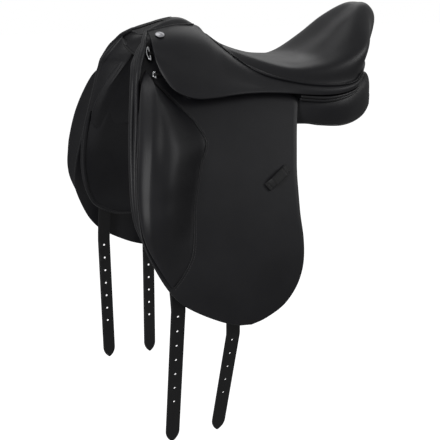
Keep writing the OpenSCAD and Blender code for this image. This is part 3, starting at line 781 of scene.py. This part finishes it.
cap = sheet(cap_grid(steps(60, 0.01, 0.99), steps(14, 0, 0.97)), COVER_T, SOFT_EDGE)
add("cap", cap, seat_black, nodes=["pommel_cap"])
facing = sheet(band(notch_edge, notch_low, steps(60), steps(10, 0.05, 1)), COVER_T, SOFT_EDGE)
add("notch_facing", facing, black, nodes=["pommel_facing"])
apron = sheet(band(apron_top, apron_low, steps(60), steps(12)), COVER_T, SOFT_EDGE)
add("apron", apron, black)
edge_welt("apron_welt", apron_low, (0, 0, 0), 2.0)
edge_welt("notch_welt", notch_edge, (0, 0, -1.6), 2.5)
edge_welt("cap_welt", cap_seam, (0, 0.6, -0.9), 1.3)


# Panels
HEAD_Z = POMMEL / 2 + 56
EDGE_Z = min(HEAD_Z - 2, 154)
PANEL_FRONT = -310
HEAD_Y = -285
PANEL_END = CANTLE_Y - 32
P = PANEL_SIDE
panel_keys = [
    (PANEL_FRONT, (CHAN + 33, 96), (P - 53, 98), (P - 7, 10), (CHAN + 78, 6)),
    (-301, (CHAN + 2, HEAD_Z - 10), (P - 75, EDGE_Z - 4), (P - 2, -2), (CHAN + 77, -4)),
    (HEAD_Y, (CHAN - 5, HEAD_Z), (P - 76, EDGE_Z), (P, -6), (CHAN + 75, -4)),
    (-235, (CHAN - 2, HEAD_Z - 24), (P - 81, EDGE_Z - 28), (P, -2), (CHAN + 58, 6)),
    (-150, (CHAN - 1, 104), (P - 58, 92), (P - 3, 2), (CHAN + 24, 26)),
    (-60, (CHAN, 90), (P - 29, 76), (P - 3, 4), (CHAN + 2, 38)),
    (-14, (CHAN, 90), (P - 26, 75), (P - 5, 9), (CHAN + 1, 38)),
    (18, (CHAN, 90), (P - 8, 71), (P - 7, 8), (CHAN, 37)),
    (45, (CHAN, 90), (P - 2, 69), (P - 8, 2), (CHAN, 36)),
    (PANEL_END - 78, (CHAN, 92), (P - 4, 71), (P - 12, -3), (CHAN + 2, 34)),
    (PANEL_END - 33, (CHAN + 2, 98), (P - 22, 88), (P - 25, 5), (CHAN + 6, 40)),
    (PANEL_END - 8, (CHAN + 6, 100), (P - 39, 98), (P - 38, 26), (CHAN + 10, 52)),
    (PANEL_END, (CHAN + 12, 92), (P - 51, 90), (P - 49, 50), (CHAN + 16, 62)),
]
panel_corner = [[(k[0], k[c]) for k in panel_keys] for c in range(1, 5)]
lean_key = [(-10, 0), (34, 3), (76, 16), (118, 34), (158, 52)]
lean_share = [(PANEL_FRONT, 1), (HEAD_Y, 1), (-235, 0.4), (-150, 0), (400, 0)]
CUT = 0.22
CUT_TIMES = 4
FRONT_SWELL = -2.2
REAR_SWELL = 4.5


def panel_ring(y, shrink=0.0):
    """Section of the panel, rounded by cutting its corners; its front leans back at the top."""
    p = np.array([curve(k, y) for k in panel_corner])
    for _ in range(CUT_TIMES):
        q = np.roll(p, -1, axis=0)
        p = np.stack([lerp(p, q, CUT), lerp(p, q, 1 - CUT)], axis=1).reshape(-1, 2)
    p = lerp(p, p.mean(axis=0), shrink)
    share = float(curve(lean_share, y))
    lean = curve(lean_key, np.clip(p[:, 1], lean_key[0][0], lean_key[-1][0]))
    return np.stack([p[:, 0], y + share * lean, p[:, 1]], axis=1)


def panel_cap(y, shrinks, swell):
    return [panel_ring(y, k) + np.array((0, swell * math.sqrt(k), 0)) for k in shrinks]


panel_ys = np.concatenate([
    steps(14, PANEL_FRONT, HEAD_Y),
    steps(60, HEAD_Y + 5, PANEL_END - 30),
    steps(20, PANEL_END - 28, PANEL_END),
])
rings = panel_cap(PANEL_FRONT, (0.85, 0.6, 0.35, 0.15), FRONT_SWELL)
rings += [panel_ring(y) for y in panel_ys]
rings += panel_cap(PANEL_END, (0.12, 0.3, 0.55, 0.8), REAR_SWELL)
panel_mesh = loft(rings, [rings[0].mean(axis=0), rings[-1].mean(axis=0)])


# Side pieces, made once for the left and mirrored for the right
HEAD_ROWS = 16
LEAF_ROWS = 84
FLAP_COLS = 48
FRONT_CROWD = 1.3
SWEAT_CROWD = 1.6
flap_across = steps(FLAP_COLS) ** FRONT_CROWD
flap_rows = np.concatenate([
    side_grid(flap_x, head_front, head_rear, steps(HEAD_ROWS), flap_across, flap_flare),
    side_grid(flap_x, flap_front, flap_rear, steps(LEAF_ROWS), flap_across, flap_flare),
])
flap_mesh = sheet(flap_rows, FLAP_T, 1.4)
sweat_rows = side_grid(sweat_x, even(sweat_front), even(sweat_rear), steps(60),
                       steps(44) ** SWEAT_CROWD, sweat_flare)
sweat_mesh = sheet(sweat_rows, SWEAT_T, 1.0)

# Skirt columns run from the pommel to the rear of the strip, and the lobe fades out at its rear
SKIRT_COLS = 150
SKIRT_ROWS = 34
LOBE_FADE = 6.86
LOBE_GONE = FOLD_END + 0.6
STRIP_ROUND = 1.4
ROUND_RUN = 1.5
ROUND_DIR = np.array((0.9, 0, 0.3))
EDGE_FROM = 70
columns = []
for s in steps(SKIRT_COLS, 0, TOP_END):
    line = skirt_at(s, steps(40))
    t = float(curve(share_key, min(s, FOLD_END))) / FOLD_LAST
    if s < FOLD_END and t < 1:
        line = np.concatenate([line[:-1], lobe_at(t, steps(30))])
    elif s < LOBE_GONE:
        reach = 1 - smooth_step((s - LOBE_FADE) / (LOBE_GONE - LOBE_FADE))
        tail = lobe_at(1.0, steps(30))
        tail = (tail - tail[0]) * reach + line[-1]
        line = np.concatenate([line[:-1], tail])
    line = along(line, SKIRT_ROWS + 1)
    share = float(smooth_step((s - FOLD_END) / ROUND_RUN))
    round_out = STRIP_ROUND * share * np.sin(np.pi * steps(SKIRT_ROWS))
    columns.append(line + round_out[:, None] * ROUND_DIR)
skirt_rows = np.array(columns).transpose(1, 0, 2)
soften(skirt_rows, 24)
soften(skirt_rows[1:-1].transpose(1, 0, 2), 80)
soften(skirt_rows[-1, EDGE_FROM:], 80)
skirt_mesh = sheet(skirt_rows, SKIRT_T, 1.2)
fold_dir = unit(fold_b - fold_a)
LOBE_FOOT = np.array((126, -203, 80))
lobe_dir = unit(LOBE_FOOT - fold_at(fold_share[2]))
lobe_dir = unit(lobe_dir - fold_dir * (lobe_dir @ fold_dir))


# Knee block: level rows from its top down, section from the front edge to the rear seam
BLOCK_TOP = 120
BLOCK_LOW = -202
BLOCK_SKIN = 1.5
LEAST_WIDE = 0.5
block_section = np.array([
    (0, 0, 0), (0, 0.2, 5), (0, 0.4, 11), (0, 0.52, 15.5), (0, 0.62, 18.8), (0, 0.7, 18.5),
    (0, 0.77, 16.5), (0, 0.83, 13), (0, 0.885, 8.5), (0, 0.93, 3.5), (0.06, 0.965, 0),
    (0.16, 0.99, 0), (0.27, 0.975, 0), (0.4, 0.88, 0), (0.58, 0.64, 0), (0.77, 0.34, 0),
    (0.92, 0.105, 0), (1, 0.01, 0),
])
section = curve(even(block_section), steps(56))


def block_row(z):
    k = float(curve(block_lift, -z))
    front = front_y(z) + BLOCK_BACK
    rear = max(front + LEAST_WIDE, float(at_height(block_seam_yz, z)))
    y = lerp(front, rear, section[:, 0])
    x = flap_x(z) + flap_flare(z, y - front + BLOCK_BACK) + BLOCK_H * k * section[:, 1]
    return np.stack([x, y - k * section[:, 2], np.full_like(y, z)], axis=1)


block_rows = np.array([block_row(z) for z in steps(130, BLOCK_TOP, BLOCK_LOW)])
soften(block_rows[:, 1:-1], 16)
block_mesh = sheet(block_rows, BLOCK_SKIN, THIN_EDGE)


# Girth strap as one length: its top follows the strap surface and its tail hangs straight
STRAP_COLS = 6
ROW_LEN = 4
HOLE_CELL = 6.5
HOLE_MID = 4.2
TIP_ROWS = 10


def strap_mesh(centre, bend, lean, tail, slant):
    top_len = WEB_LOW - GAP - bend
    top_z = steps(40, WEB_LOW - GAP, bend)
    top_x = strap_x(top_z)
    lean_a = math.radians(lean)
    slant_a = math.radians(slant)
    base_x = float(strap_x(bend)) - BILLET_T / 2

    def place(a, l):
        """Point of the outer face, a across and l down from the top."""
        if l <= top_len:
            z = WEB_LOW - GAP - l
            x = float(np.interp(-z, -top_z, top_x))
            return np.array((x, centre + a, z))
        h = -(l - top_len)
        y = a * math.cos(slant_a) + h * math.sin(slant_a)
        z = -a * math.sin(slant_a) + h * math.cos(slant_a)
        x = BILLET_T / 2
        px = x * math.cos(lean_a) + z * math.sin(lean_a)
        pz = -x * math.sin(lean_a) + z * math.cos(lean_a)
        return np.array((base_x + px, centre + y, bend + pz))

    total = top_len + tail
    hole_count = int((tail - TIP_ROOM - PITCH / 3) // PITCH) + 1
    holes = [total - TIP_ROOM - i * PITCH for i in range(hole_count)][::-1]
    half = BILLET_W / 2
    tip_r = BILLET_W
    tip_len = math.sqrt(tip_r ** 2 - (tip_r - half) ** 2)

    def half_at(l):
        d = l - (total - tip_len)
        return math.sqrt(tip_r ** 2 - d ** 2) - (tip_r - half)

    across = steps(STRAP_COLS, -1, 1)
    flat = []
    faces = []
    index = {}

    def vertex(key, a, l):
        if key not in index:
            index[key] = len(flat)
            flat.append((a, l))
        return index[key]

    def corner(l, j, wide):
        return vertex((round(l, 3), j), across[j] * wide, l)

    def quads(p, q, wide_p, wide_q):
        for j in range(STRAP_COLS):
            a0 = corner(p, j, wide_p)
            a1 = corner(p, j + 1, wide_p)
            b0 = corner(q, j, wide_q)
            b1 = corner(q, j + 1, wide_q)
            faces.append((a0, b0, b1, a1))

    def circle(kind, n, c, r, angles):
        return [vertex((kind, n, k), r * math.cos(t), c + r * math.sin(t)) for k, t in enumerate(angles)]

    # Plain lengths between the cells that hold the holes
    marks = [0.0]
    for c in holes:
        marks += [c - HOLE_CELL, c + HOLE_CELL]
    marks.append(total - tip_len)
    for l0, l1 in zip(marks[::2], marks[1::2]):
        ls = steps(max(1, int((l1 - l0) / ROW_LEN)), l0, l1)
        for p, q in zip(ls[:-1], ls[1:]):
            quads(p, q, half, half)

    # Each cell is a ring of faces round its hole
    for n, c in enumerate(holes):
        low = c - HOLE_CELL
        ring = [corner(low, j, half) for j in range(STRAP_COLS + 1)]
        for k in range(1, STRAP_COLS):
            ring.append(vertex(("r", n, k), half, low + k * 2 * HOLE_CELL / STRAP_COLS))
        ring += [corner(c + HOLE_CELL, j, half) for j in range(STRAP_COLS, -1, -1)]
        for k in range(STRAP_COLS - 1, 0, -1):
            ring.append(vertex(("l", n, k), -half, low + k * 2 * HOLE_CELL / STRAP_COLS))
        angles = [math.atan2((flat[v][1] - c) / HOLE_CELL, flat[v][0] / half) for v in ring]
        mid = circle("m", n, c, HOLE_MID, angles)
        rim = circle("h", n, c, HOLE_R, angles)
        for k in range(len(ring)):
            m = (k + 1) % len(ring)
            faces.append((ring[m], ring[k], mid[k], mid[m]))
            faces.append((mid[m], mid[k], rim[k], rim[m]))

    # Rounded tip
    ls = list(total - tip_len + tip_len * np.sin(steps(TIP_ROWS, 0, math.pi / 2)))
    for p, q in zip(ls[:-2], ls[1:-1]):
        quads(p, q, half_at(p), half_at(q))
    last = ls[-2]
    tip = vertex(("tip", 0, 0), 0, total)
    for j in range(STRAP_COLS):
        faces.append((corner(last, j, half_at(last)), tip, corner(last, j + 1, half_at(last))))
    verts = np.array([place(a, l) for a, l in flat])
    return thicken(verts, faces, BILLET_T, 0.5)


# Girth web that carries the straps
WEB_SKIN = 0.2
web_front = even([(-238, 78), (-246, 30), (-290, WEB_LOW)])
web_rear = even([(-120, 78), (-130, 30), (-150, WEB_LOW)])
web_rows = side_grid(strap_x, web_front, web_rear, steps(40), steps(40))
web_rows[:, :, 0] -= WEB_SKIN
web_mesh = sheet(web_rows, BILLET_T - 2 * WEB_SKIN, 0.8)


# Rolled front edges of sweat flap and panel, which run on round the sweat flap
def rolled(points, radii, count=170, sides=14):
    t = np.linspace(0, 1, count)
    r = np.interp(t, np.linspace(0, 1, len(radii)), radii)
    return tube(curve(even(points), t), r, sides)


PANEL_IN = 4.5


def on_sweat(pairs, inward):
    return np.array([(float(sweat_x(z)) - inward, y, z) for y, z in pairs])


sweat_foot = [(-306, -141)] + sweat_front[-2:] + [(-213, -188)]
sweat_round = on_sweat(sweat_foot + sweat_rear[:1:-1], SWEAT_T / 2)
panel_round = on_sweat([
    (-308, -138), (-294, -160), (-256, -179), (-213, -184), (-176, -184), (-122, -171),
    (-86, -140), (-72, -103), (-68, -65), (-70, -25), (-84, 18),
], SWEAT_T + PANEL_IN)
sweat_r = [3.2, 4.2, 5, 5.6, 5.8, 5.7, 5.4, 5, 4.8, 4.6, 4.6, 4.6, 4.6, 4.4, 4, 3.4, 3] + [2.6] * 9
panel_r = [2.5, 3.8, 5, 6, 6.2, 6.1, 5.8, 5.5, 5.2, 5.2, 5.2, 5.2, 5, 4.6, 4.2, 3.8] + [3.5] * 9
sweat_roll_mesh = rolled(np.concatenate([sweat_roll, sweat_round]), sweat_r)
panel_path = np.concatenate([panel_roll, panel_round])
panel_roll_mesh = rolled(panel_path, panel_r)

# Leather that closes the front between the rolls, the panel and the skirt
inner_edge = even([
    (47, -257, 161), (40, -255, 153), (35, -253, 146), (36, -253, 138), (41, -256, 129),
    (48, -262, 118), (59, -274, 98), (70, -285, 79), (83, -293, 59), (99, -301, 32),
])
outer_edge = even([
    (40, -246, 178), (57.4, -247, 169), (61.3, -250.5, 157.4),
    (64.5, -252, 148), (68, -252, 139), (72, -252, 129),
])
SHOULDER_KEYS = 10
SHOULDER_SWELL = np.array((0, 3, 0))
ROLL_SHARE = 0.85
CREASE_KEYS = 6
CREASE_TURN = 2.2


def shoulder():
    ts = steps(40)
    a = curve(even(panel_roll[:SHOULDER_KEYS]), ts)
    a[:, 1] -= ROLL_SHARE * np.interp(ts, np.linspace(0, 1, SHOULDER_KEYS), panel_r[:SHOULDER_KEYS])
    b = curve(inner_edge, ts)
    r = steps(14)[:, None]
    return np.array([lerp(q, p, r) - SHOULDER_SWELL * np.sin(np.pi * r) for p, q in zip(a, b)])


def crease():
    ts = steps(30)
    a = curve(even(sweat_roll[:CREASE_KEYS]), ts)
    b = curve(outer_edge, ts)
    r = steps(14)
    rows = []
    for p, q in zip(a, b):
        row = lerp(p, q, r[:, None])
        row[:, 0] = lerp(p[0], q[0], smooth_step(r * CREASE_TURN))
        rows.append(row)
    return np.array(rows)


shoulder_mesh = sheet(shoulder(), COVER_T, SOFT_EDGE)
crease_mesh = sheet(crease(), COVER_T, SOFT_EDGE)

# Lining of the sweat flap, which carries the panel's bearing surface down to the lower edge
PATH_FROM = 8
PATH_LOW = 17
LINING_TOP = 58
LINING_LOW = -183.5
LINING_IN = 1.5
LINING_FRONT = 30
LINING_REAR = 24
lining_key = [
    (LINING_LOW, 157.9), (-140, 150.7), (-100, 146.9), (-80, 144.4), (-60, 140), (-45, 134.5),
    (-32, 128), (-20, 120.5), (-8, 112.5), (8, 103.5), (20, 97.5), (40, 88), (60, 79),
]


def lining():
    front = panel_path[PATH_FROM:PATH_LOW + 1]
    rear = panel_path[PATH_LOW:][::-1]
    rows = []
    for z in steps(76, LINING_TOP, LINING_LOW):
        at = [float(at_height(front, z, c)) for c in (0, 1)]
        end = [float(at_height(rear, z, c)) for c in (0, 1)]
        end[0] = min(end[0], float(sweat_x(z)) - SWEAT_T - PANEL_IN)
        y = lerp(at[1], end[1], steps(40) ** FRONT_CROWD)
        x = lerp(at[0] - LINING_IN, float(curve(lining_key, z)), smooth_step((y - at[1]) / LINING_FRONT))
        x = lerp(end[0], x, smooth_step((end[1] - y) / LINING_REAR))
        rows.append(np.stack([x, y, np.full_like(y, z)], axis=1))
    g = np.array(rows)[:, ::-1]
    soften(g[:, 1:-1], 12)
    return g


lining_mesh = sheet(lining(), COVER_T, SOFT_EDGE)


# Cloth lining over the channel between the panels, and leather behind the panels under the cantle
CHANNEL_FRONT = -248
CHANNEL_ARCH = 7
CHANNEL_SINK = 7
CHANNEL_OVER = 9
THIN_T = 1.5
REAR_LIFT = 2
REAR_SLOPE = np.array((0, -14, -26))


def channel():
    rows = []
    for y in steps(90, CHANNEL_FRONT, PANEL_END - 2):
        x, z = curve(panel_corner[0], y)
        across = steps(24, -1, 1)
        rise = z - CHANNEL_SINK + CHANNEL_ARCH * (1 - across ** 2)
        rows.append(np.stack([across * (x + CHANNEL_OVER), np.full_like(across, y), rise], axis=1))
    return np.array(rows)


add("channel_lining", sheet(channel(), THIN_T, THIN_EDGE), dark_lining)
rear_top = seat_grid([SEAT_END], steps(60, 1, -1))[0]
rear_rows = np.array([rear_top + np.array((0, 0, REAR_LIFT)) + REAR_SLOPE * r for r in steps(8)])
add("rear_facing", sheet(rear_rows, THIN_T, THIN_EDGE), black)

# The strip under the seat runs on round the back of the cantle
TAIL_FROM = 6.75
TAIL_DROP = 7.5
TAIL_LEAN = 2.4
TAIL_OUT = 0.4
TAIL_THIN = 0.6
tail_side = np.array([seam_at(t) for t in steps(24, TAIL_FROM, SEAT_END)])
tail_path = along(np.concatenate([tail_side, rear_top[1:-1], tail_side[::-1] * FLIP]), 140)
tail_ahead = np.gradient(tail_path, axis=0)
tail_out = unit(np.stack([tail_ahead[:, 1], -tail_ahead[:, 0], np.zeros(len(tail_path))], axis=1))
tail_rows = []
for r in steps(10):
    lean = TAIL_OUT + TAIL_LEAN * r + STRIP_ROUND * math.sin(math.pi * r)
    tail_rows.append(tail_path + tail_out * lean - np.array((0, 0, TAIL_DROP * r - UNDER_SEAT[2])))
add("rear_strip", sheet(np.array(tail_rows), SKIRT_T - TAIL_THIN, 1), black)


# Strap keeper: a stitched loop with flat ends
KEEPER = (-74, -57)
KEEPER_LEN = 52
KEEPER_W = 14
KEEPER_SLOPE = math.radians(34)
KEEPER_FLAT = 5
KEEPER_END = 9
KEEPER_T = 2.8
KEEPER_RISE = 8.5
KEEPER_SEAT = 0.4
KEEPER_CROWN = 0.5
SEAM_INSET = 3.4
SEAM_LIFT = 0.7


def keeper():
    """The loop, and the two rows of stitches that hold its ends."""
    o, out, rear, up = side_frame(*KEEPER)
    long = rear * math.cos(KEEPER_SLOPE) + up * math.sin(KEEPER_SLOPE)
    wide = up * math.cos(KEEPER_SLOPE) - rear * math.sin(KEEPER_SLOPE)
    half = KEEPER_LEN / 2
    rows = []
    for w in steps(10, KEEPER_W / 2, -KEEPER_W / 2):
        crown = KEEPER_CROWN * (1 - (2 * w / KEEPER_W) ** 2)
        row = []
        for l in steps(44, -half, half):
            lift = smooth_step((half - abs(l) - KEEPER_FLAT) / KEEPER_END)
            high = KEEPER_T + KEEPER_SEAT + (KEEPER_RISE - KEEPER_T) * lift + crown
            row.append(o + long * l + wide * w + out * high)
        rows.append(row)
    seams = []
    for s in (-1, 1):
        end = o + long * s * (half - SEAM_INSET)
        line = [end + wide * w + out * (KEEPER_T + SEAM_LIFT) for w in (-5, 0, 5)]
        seams.append(stitches(line, [out] * 3, pitch=2.5, long=1.8, r=0.35))
    return sheet(np.array(rows), KEEPER_T, 0.9), joined(*seams)


keeper_mesh, keeper_seam = keeper()


# Dees: a straight bar and a shallow bow of bright wire
DEE_LIFT = 3.7
DEE_CORNER = 0.12
BAR_JOIN = 0.1


def dee(y, z, half, reach, r):
    o, out, rear, up = side_frame(y, z)
    o = o + out * DEE_LIFT
    line = [o + up * half * k for k in steps(8, BAR_JOIN, 1)]
    for a in steps(24, DEE_CORNER, math.pi - DEE_CORNER):
        line.append(o + up * half * math.cos(a) - rear * reach * math.sin(a))
    line += [o + up * half * k for k in steps(8, -1, BAR_JOIN)]
    return tube(along(line, 90), r, 12)


UPPER_DEE = (-257.5, 144)
LOWER_DEE = (-256, 112)
upper_dee_mesh = dee(*UPPER_DEE, half=11, reach=5.4, r=1.6)
lower_dee_mesh = dee(*LOWER_DEE, half=5.5, reach=4, r=1.1)

# Chapes: a strip of leather folded round each dee's bar, its two ends sewn under the skirt
CHAPE_T = 0.9
CHAPE_LEN = 20
CHAPE_LOW = -0.1
CHAPE_WRAP = 0.2


def chape(y, z, width, bore):
    o, out, rear, up = side_frame(y, z)
    o = o + out * DEE_LIFT
    r = bore + CHAPE_T
    path = [(CHAPE_LEN, CHAPE_T, 0), (CHAPE_LEN / 2, CHAPE_T, 0)]
    for a in steps(20, -CHAPE_WRAP, math.pi + CHAPE_WRAP):
        path.append((-r * math.sin(a), r * math.cos(a), 0))
    path += [(CHAPE_LEN / 2, CHAPE_LOW, 0), (CHAPE_LEN, CHAPE_LOW, 0)]
    rows = []
    for a, b, _ in along(path, 60):
        rows.append([o + rear * a + out * b + up * w for w in steps(8, -width / 2, width / 2)])
    return sheet(np.array(rows), CHAPE_T, THIN_EDGE)


upper_chape = chape(*UPPER_DEE, width=4.5, bore=1.8)
lower_chape = chape(*LOWER_DEE, width=2.8, bore=1.3)
chape_mesh = joined(upper_chape, lower_chape)

# Welts that hang below the strip under the seat, and piping along the panel's lower edge
WELT_FROM = 8.15
WELT_BACK = 0.4
WELT_R = 2.6
PIPING_FROM = -60
PIPING_MID = 60
PIPING_LEAN = 0.6
PIPING_R = 1.8


def strip_welt(inward, drop):
    shift = np.array((-inward, -WELT_BACK * inward, -drop))
    line = [low_at(s) + shift for s in steps(40, WELT_FROM, TOP_END)]
    return tube(along(line, 90), WELT_R)


def low_line():
    middle = panel_ring(PIPING_MID)
    lowest = int(np.argmin(middle[:, 2] - PIPING_LEAN * middle[:, 0]))
    return np.array([panel_ring(y)[lowest] for y in steps(70, PIPING_FROM, PANEL_END)])


upper_welt = strip_welt(inward=5, drop=4.5)
lower_welt = strip_welt(inward=7, drop=9.5)
low_piping = tube(along(low_line(), 120), PIPING_R)

# Welt in the seam round the seat
SEAT_WELT_AT = np.array((0.6, 0, -0.6))
SEAT_WELT_SPAN = (0.25, 8.2)
SEAT_WELT_R = 1.5
seam_line = np.array([seam_at(t) for t in steps(120, *SEAT_WELT_SPAN)])
seat_welt = tube(along(seam_line + SEAT_WELT_AT, 160), SEAT_WELT_R)

# Seam at the rear of the knee block, with a row of stitches behind it
SEAM_BACK = 1.0
SEAM_PROUD = 0.2
SEAM_R = 1.0
STITCH_BACK = 4.5
seam_yz = curve(even(block_seam_yz), steps(120, 0.04, 1))


def beside_seam(away):
    """Line on the flap beside the block's rear seam."""
    run = unit(np.gradient(seam_yz, axis=0))
    yz = seam_yz + away * np.stack([-run[:, 1], run[:, 0]], axis=1)
    pts = np.stack([flap_x(yz[:, 1]), yz[:, 0], yz[:, 1]], axis=1)
    out = np.array([side_frame(y, z)[1] for y, z in yz])
    return pts, out


seam_pts, seam_out = beside_seam(SEAM_BACK)
block_seam = tube(along(seam_pts + seam_out * SEAM_PROUD, 160), SEAM_R)
block_stitches = stitches(*beside_seam(STITCH_BACK))

# Both sides: where each bending piece starts and ends its bend, and the pieces that lie on the saddle
FLAP_BEND = ((112.4, -150, 64), (112.4, -150, 20))
fold_mid = fold_at(0.4)
SKIRT_BEND = (fold_mid - lobe_dir * 1.0, fold_mid + lobe_dir * 14.0)
STRAP_BEND = (5, -7)
plain_pieces = (
    ("shoulder", shoulder_mesh, black), ("crease", crease_mesh, black), ("lining", lining_mesh, black),
    ("upper_welt", upper_welt, edge_black), ("lower_welt", lower_welt, edge_black),
    ("low_piping", low_piping, edge_black),
)
strap_meshes = {which: strap_mesh(*values) for which, values in straps.items()}

for side in ("left", "right"):
    left = side == "left"

    def put(name, mesh, look, nodes=(), **more):
        mesh = mesh if left else mirrored(mesh)
        return add(f"{side}_{name}", mesh, look, nodes=[f"{side}_{n}" for n in nodes], **more)

    def bend(body, ends):
        start, end = np.asarray(ends, float) if left else np.asarray(ends, float) * FLIP
        return f"{side}_{body}", start, end

    flap_bend = bend("flap", FLAP_BEND)
    put("flap_leather", flap_mesh, black, nodes=["flap", "flap_head"], blend=flap_bend)
    block = put("block", block_mesh, black, nodes=["knee_block"], blend=flap_bend)
    put("sweat_leather", sweat_mesh, black, nodes=["sweat_flap"])
    skirt_bend = bend("skirt", SKIRT_BEND)
    put("skirt_leather", skirt_mesh, black, nodes=["skirt", "skirt_top"], blend=skirt_bend)
    panel = put("panel", panel_mesh, black, nodes=["panel_cover", "panel_flock"])
    put("seat_welt", seat_welt, edge_black)
    for name, mesh in (("sweat_roll", sweat_roll_mesh), ("panel_roll", panel_roll_mesh)):
        roll = put(name, mesh, black)
    for name, mesh, look in plain_pieces:
        put(name, mesh, look)
    put("keeper_loop", keeper_mesh, strap_black, nodes=["keeper"], body=f"{side}_flap")
    put("keeper_stitches", keeper_seam, thread, body=f"{side}_flap")
    put("block_seam", block_seam, edge_black, blend=flap_bend)
    put("block_stitches", block_stitches, thread, blend=flap_bend)
    for which, mesh in (("upper", upper_dee_mesh), ("lower", lower_dee_mesh)):
        put(f"{which}_ring", mesh, chrome, nodes=[f"{which}_dee"],
            body=f"{side}_{which}_dee", slot="chrome")
    put("chapes", chape_mesh, strap_black, nodes=["dee_chapes"])
    put("web", web_mesh, webbing, nodes=["girth_web"], slot="webbing")
    for which, values in straps.items():
        ends = [(0, 0, values[1] + shift) for shift in STRAP_BEND]
        put(f"{which}_strap", strap_meshes[which], strap_black,
            nodes=[f"{which}_billet", f"{which}_strap_top"], blend=bend(f"{which}_billet", ends))


def stand_at(obj, place, aim):
    obj.location = place
    obj.rotation_euler = (Vector(aim) - Vector(place)).to_track_quat("-Z", "Y").to_euler()


# Camera: its focal length is in pixels of the picture
SENSOR = 36.0
FOCAL_PX = 800
PICTURE_PX = 440
cam = bpy.data.cameras.new("camera")
cam.sensor_width = SENSOR
cam.lens = SENSOR * FOCAL_PX / PICTURE_PX
cam_obj = new_object("camera", cam)
stand_at(cam_obj, (1.31532, -0.71334, 0.26317), (0.0, -0.100, -0.175))
bpy.context.scene.camera = cam_obj


# Soft studio light
def lamp(name, place, aim, size, power):
    data = bpy.data.lights.new(name, "AREA")
    data.shape = "RECTANGLE"
    data.size, data.size_y = size
    data.energy = power
    stand_at(new_object(name, data), place, aim)


lamp("top_light", (-0.2, -0.4, 1.8), (0, -0.05, 0), (1.2, 1.2), 7)
lamp("front_light", (1.35, -1.75, 0.45), (0.1, -0.2, -0.1), (0.45, 1.8), 29)
lamp("rear_light", (-1.3, 1.1, 1.4), (0, 0.1, 0.1), (1.2, 1.0), 4.5)
lamp("side_light", (1.1, 1.55, 0.85), (0.1, 0.1, 0.1), (0.7, 0.7), 9)


def white_where_seen(nt, in_gloss, as_light):
    """White to the camera, dimmer in reflections and dimmer still as a light."""
    path = nt.nodes.new("ShaderNodeLightPath")
    gloss = nt.nodes.new("ShaderNodeMath")
    gloss.operation = "MAXIMUM"
    nt.links.new(path.outputs["Is Glossy Ray"], gloss.inputs[0])
    nt.links.new(path.outputs["Is Transmission Ray"], gloss.inputs[1])
    level = span_of(nt, gloss.outputs[0], as_light, in_gloss)
    mix = nt.nodes.new("ShaderNodeMix")
    nt.links.new(path.outputs["Is Camera Ray"], mix.inputs["Factor"])
    nt.links.new(level, mix.inputs["A"])
    mix.inputs["B"].default_value = 1.0
    return mix.outputs["Result"]


world = bpy.data.worlds.new("studio")
bpy.context.scene.world = world
world.use_nodes = True
nt = world.node_tree
background = nt.nodes["Background"]
background.inputs["Color"].default_value = (1, 1, 1, 1)
nt.links.new(white_where_seen(nt, 0.46, 0.22), background.inputs["Strength"])

# Pale floor below the straps
FLOOR_Z = -0.74
FLOOR_REACH = 14.0
floor_xy = ((-1, -1), (1, -1), (1, 1), (-1, 1))
corners = [(x * FLOOR_REACH, y * FLOOR_REACH, FLOOR_Z) for x, y in floor_xy]
floor_data = bpy.data.meshes.new("floor")
floor_data.from_pydata(corners, [], [(0, 1, 2, 3)])
floor = new_object("floor", floor_data)
floor_look = bpy.data.materials.new("pale_floor")
floor_look.use_nodes = True
nt = floor_look.node_tree
nt.nodes.clear()
out = nt.nodes.new("ShaderNodeOutputMaterial")
mix = nt.nodes.new("ShaderNodeAddShader")
plain = nt.nodes.new("ShaderNodeBsdfDiffuse")
plain.inputs["Color"].default_value = (0.3, 0.3, 0.3, 1)
glow = nt.nodes.new("ShaderNodeEmission")
nt.links.new(white_where_seen(nt, 0.16, 0.1), glow.inputs["Strength"])
nt.links.new(plain.outputs[0], mix.inputs[0])
nt.links.new(glow.outputs[0], mix.inputs[1])
nt.links.new(mix.outputs[0], out.inputs["Surface"])
floor_data.materials.append(floor_look)

bpy.context.scene.view_settings.view_transform = "Standard"
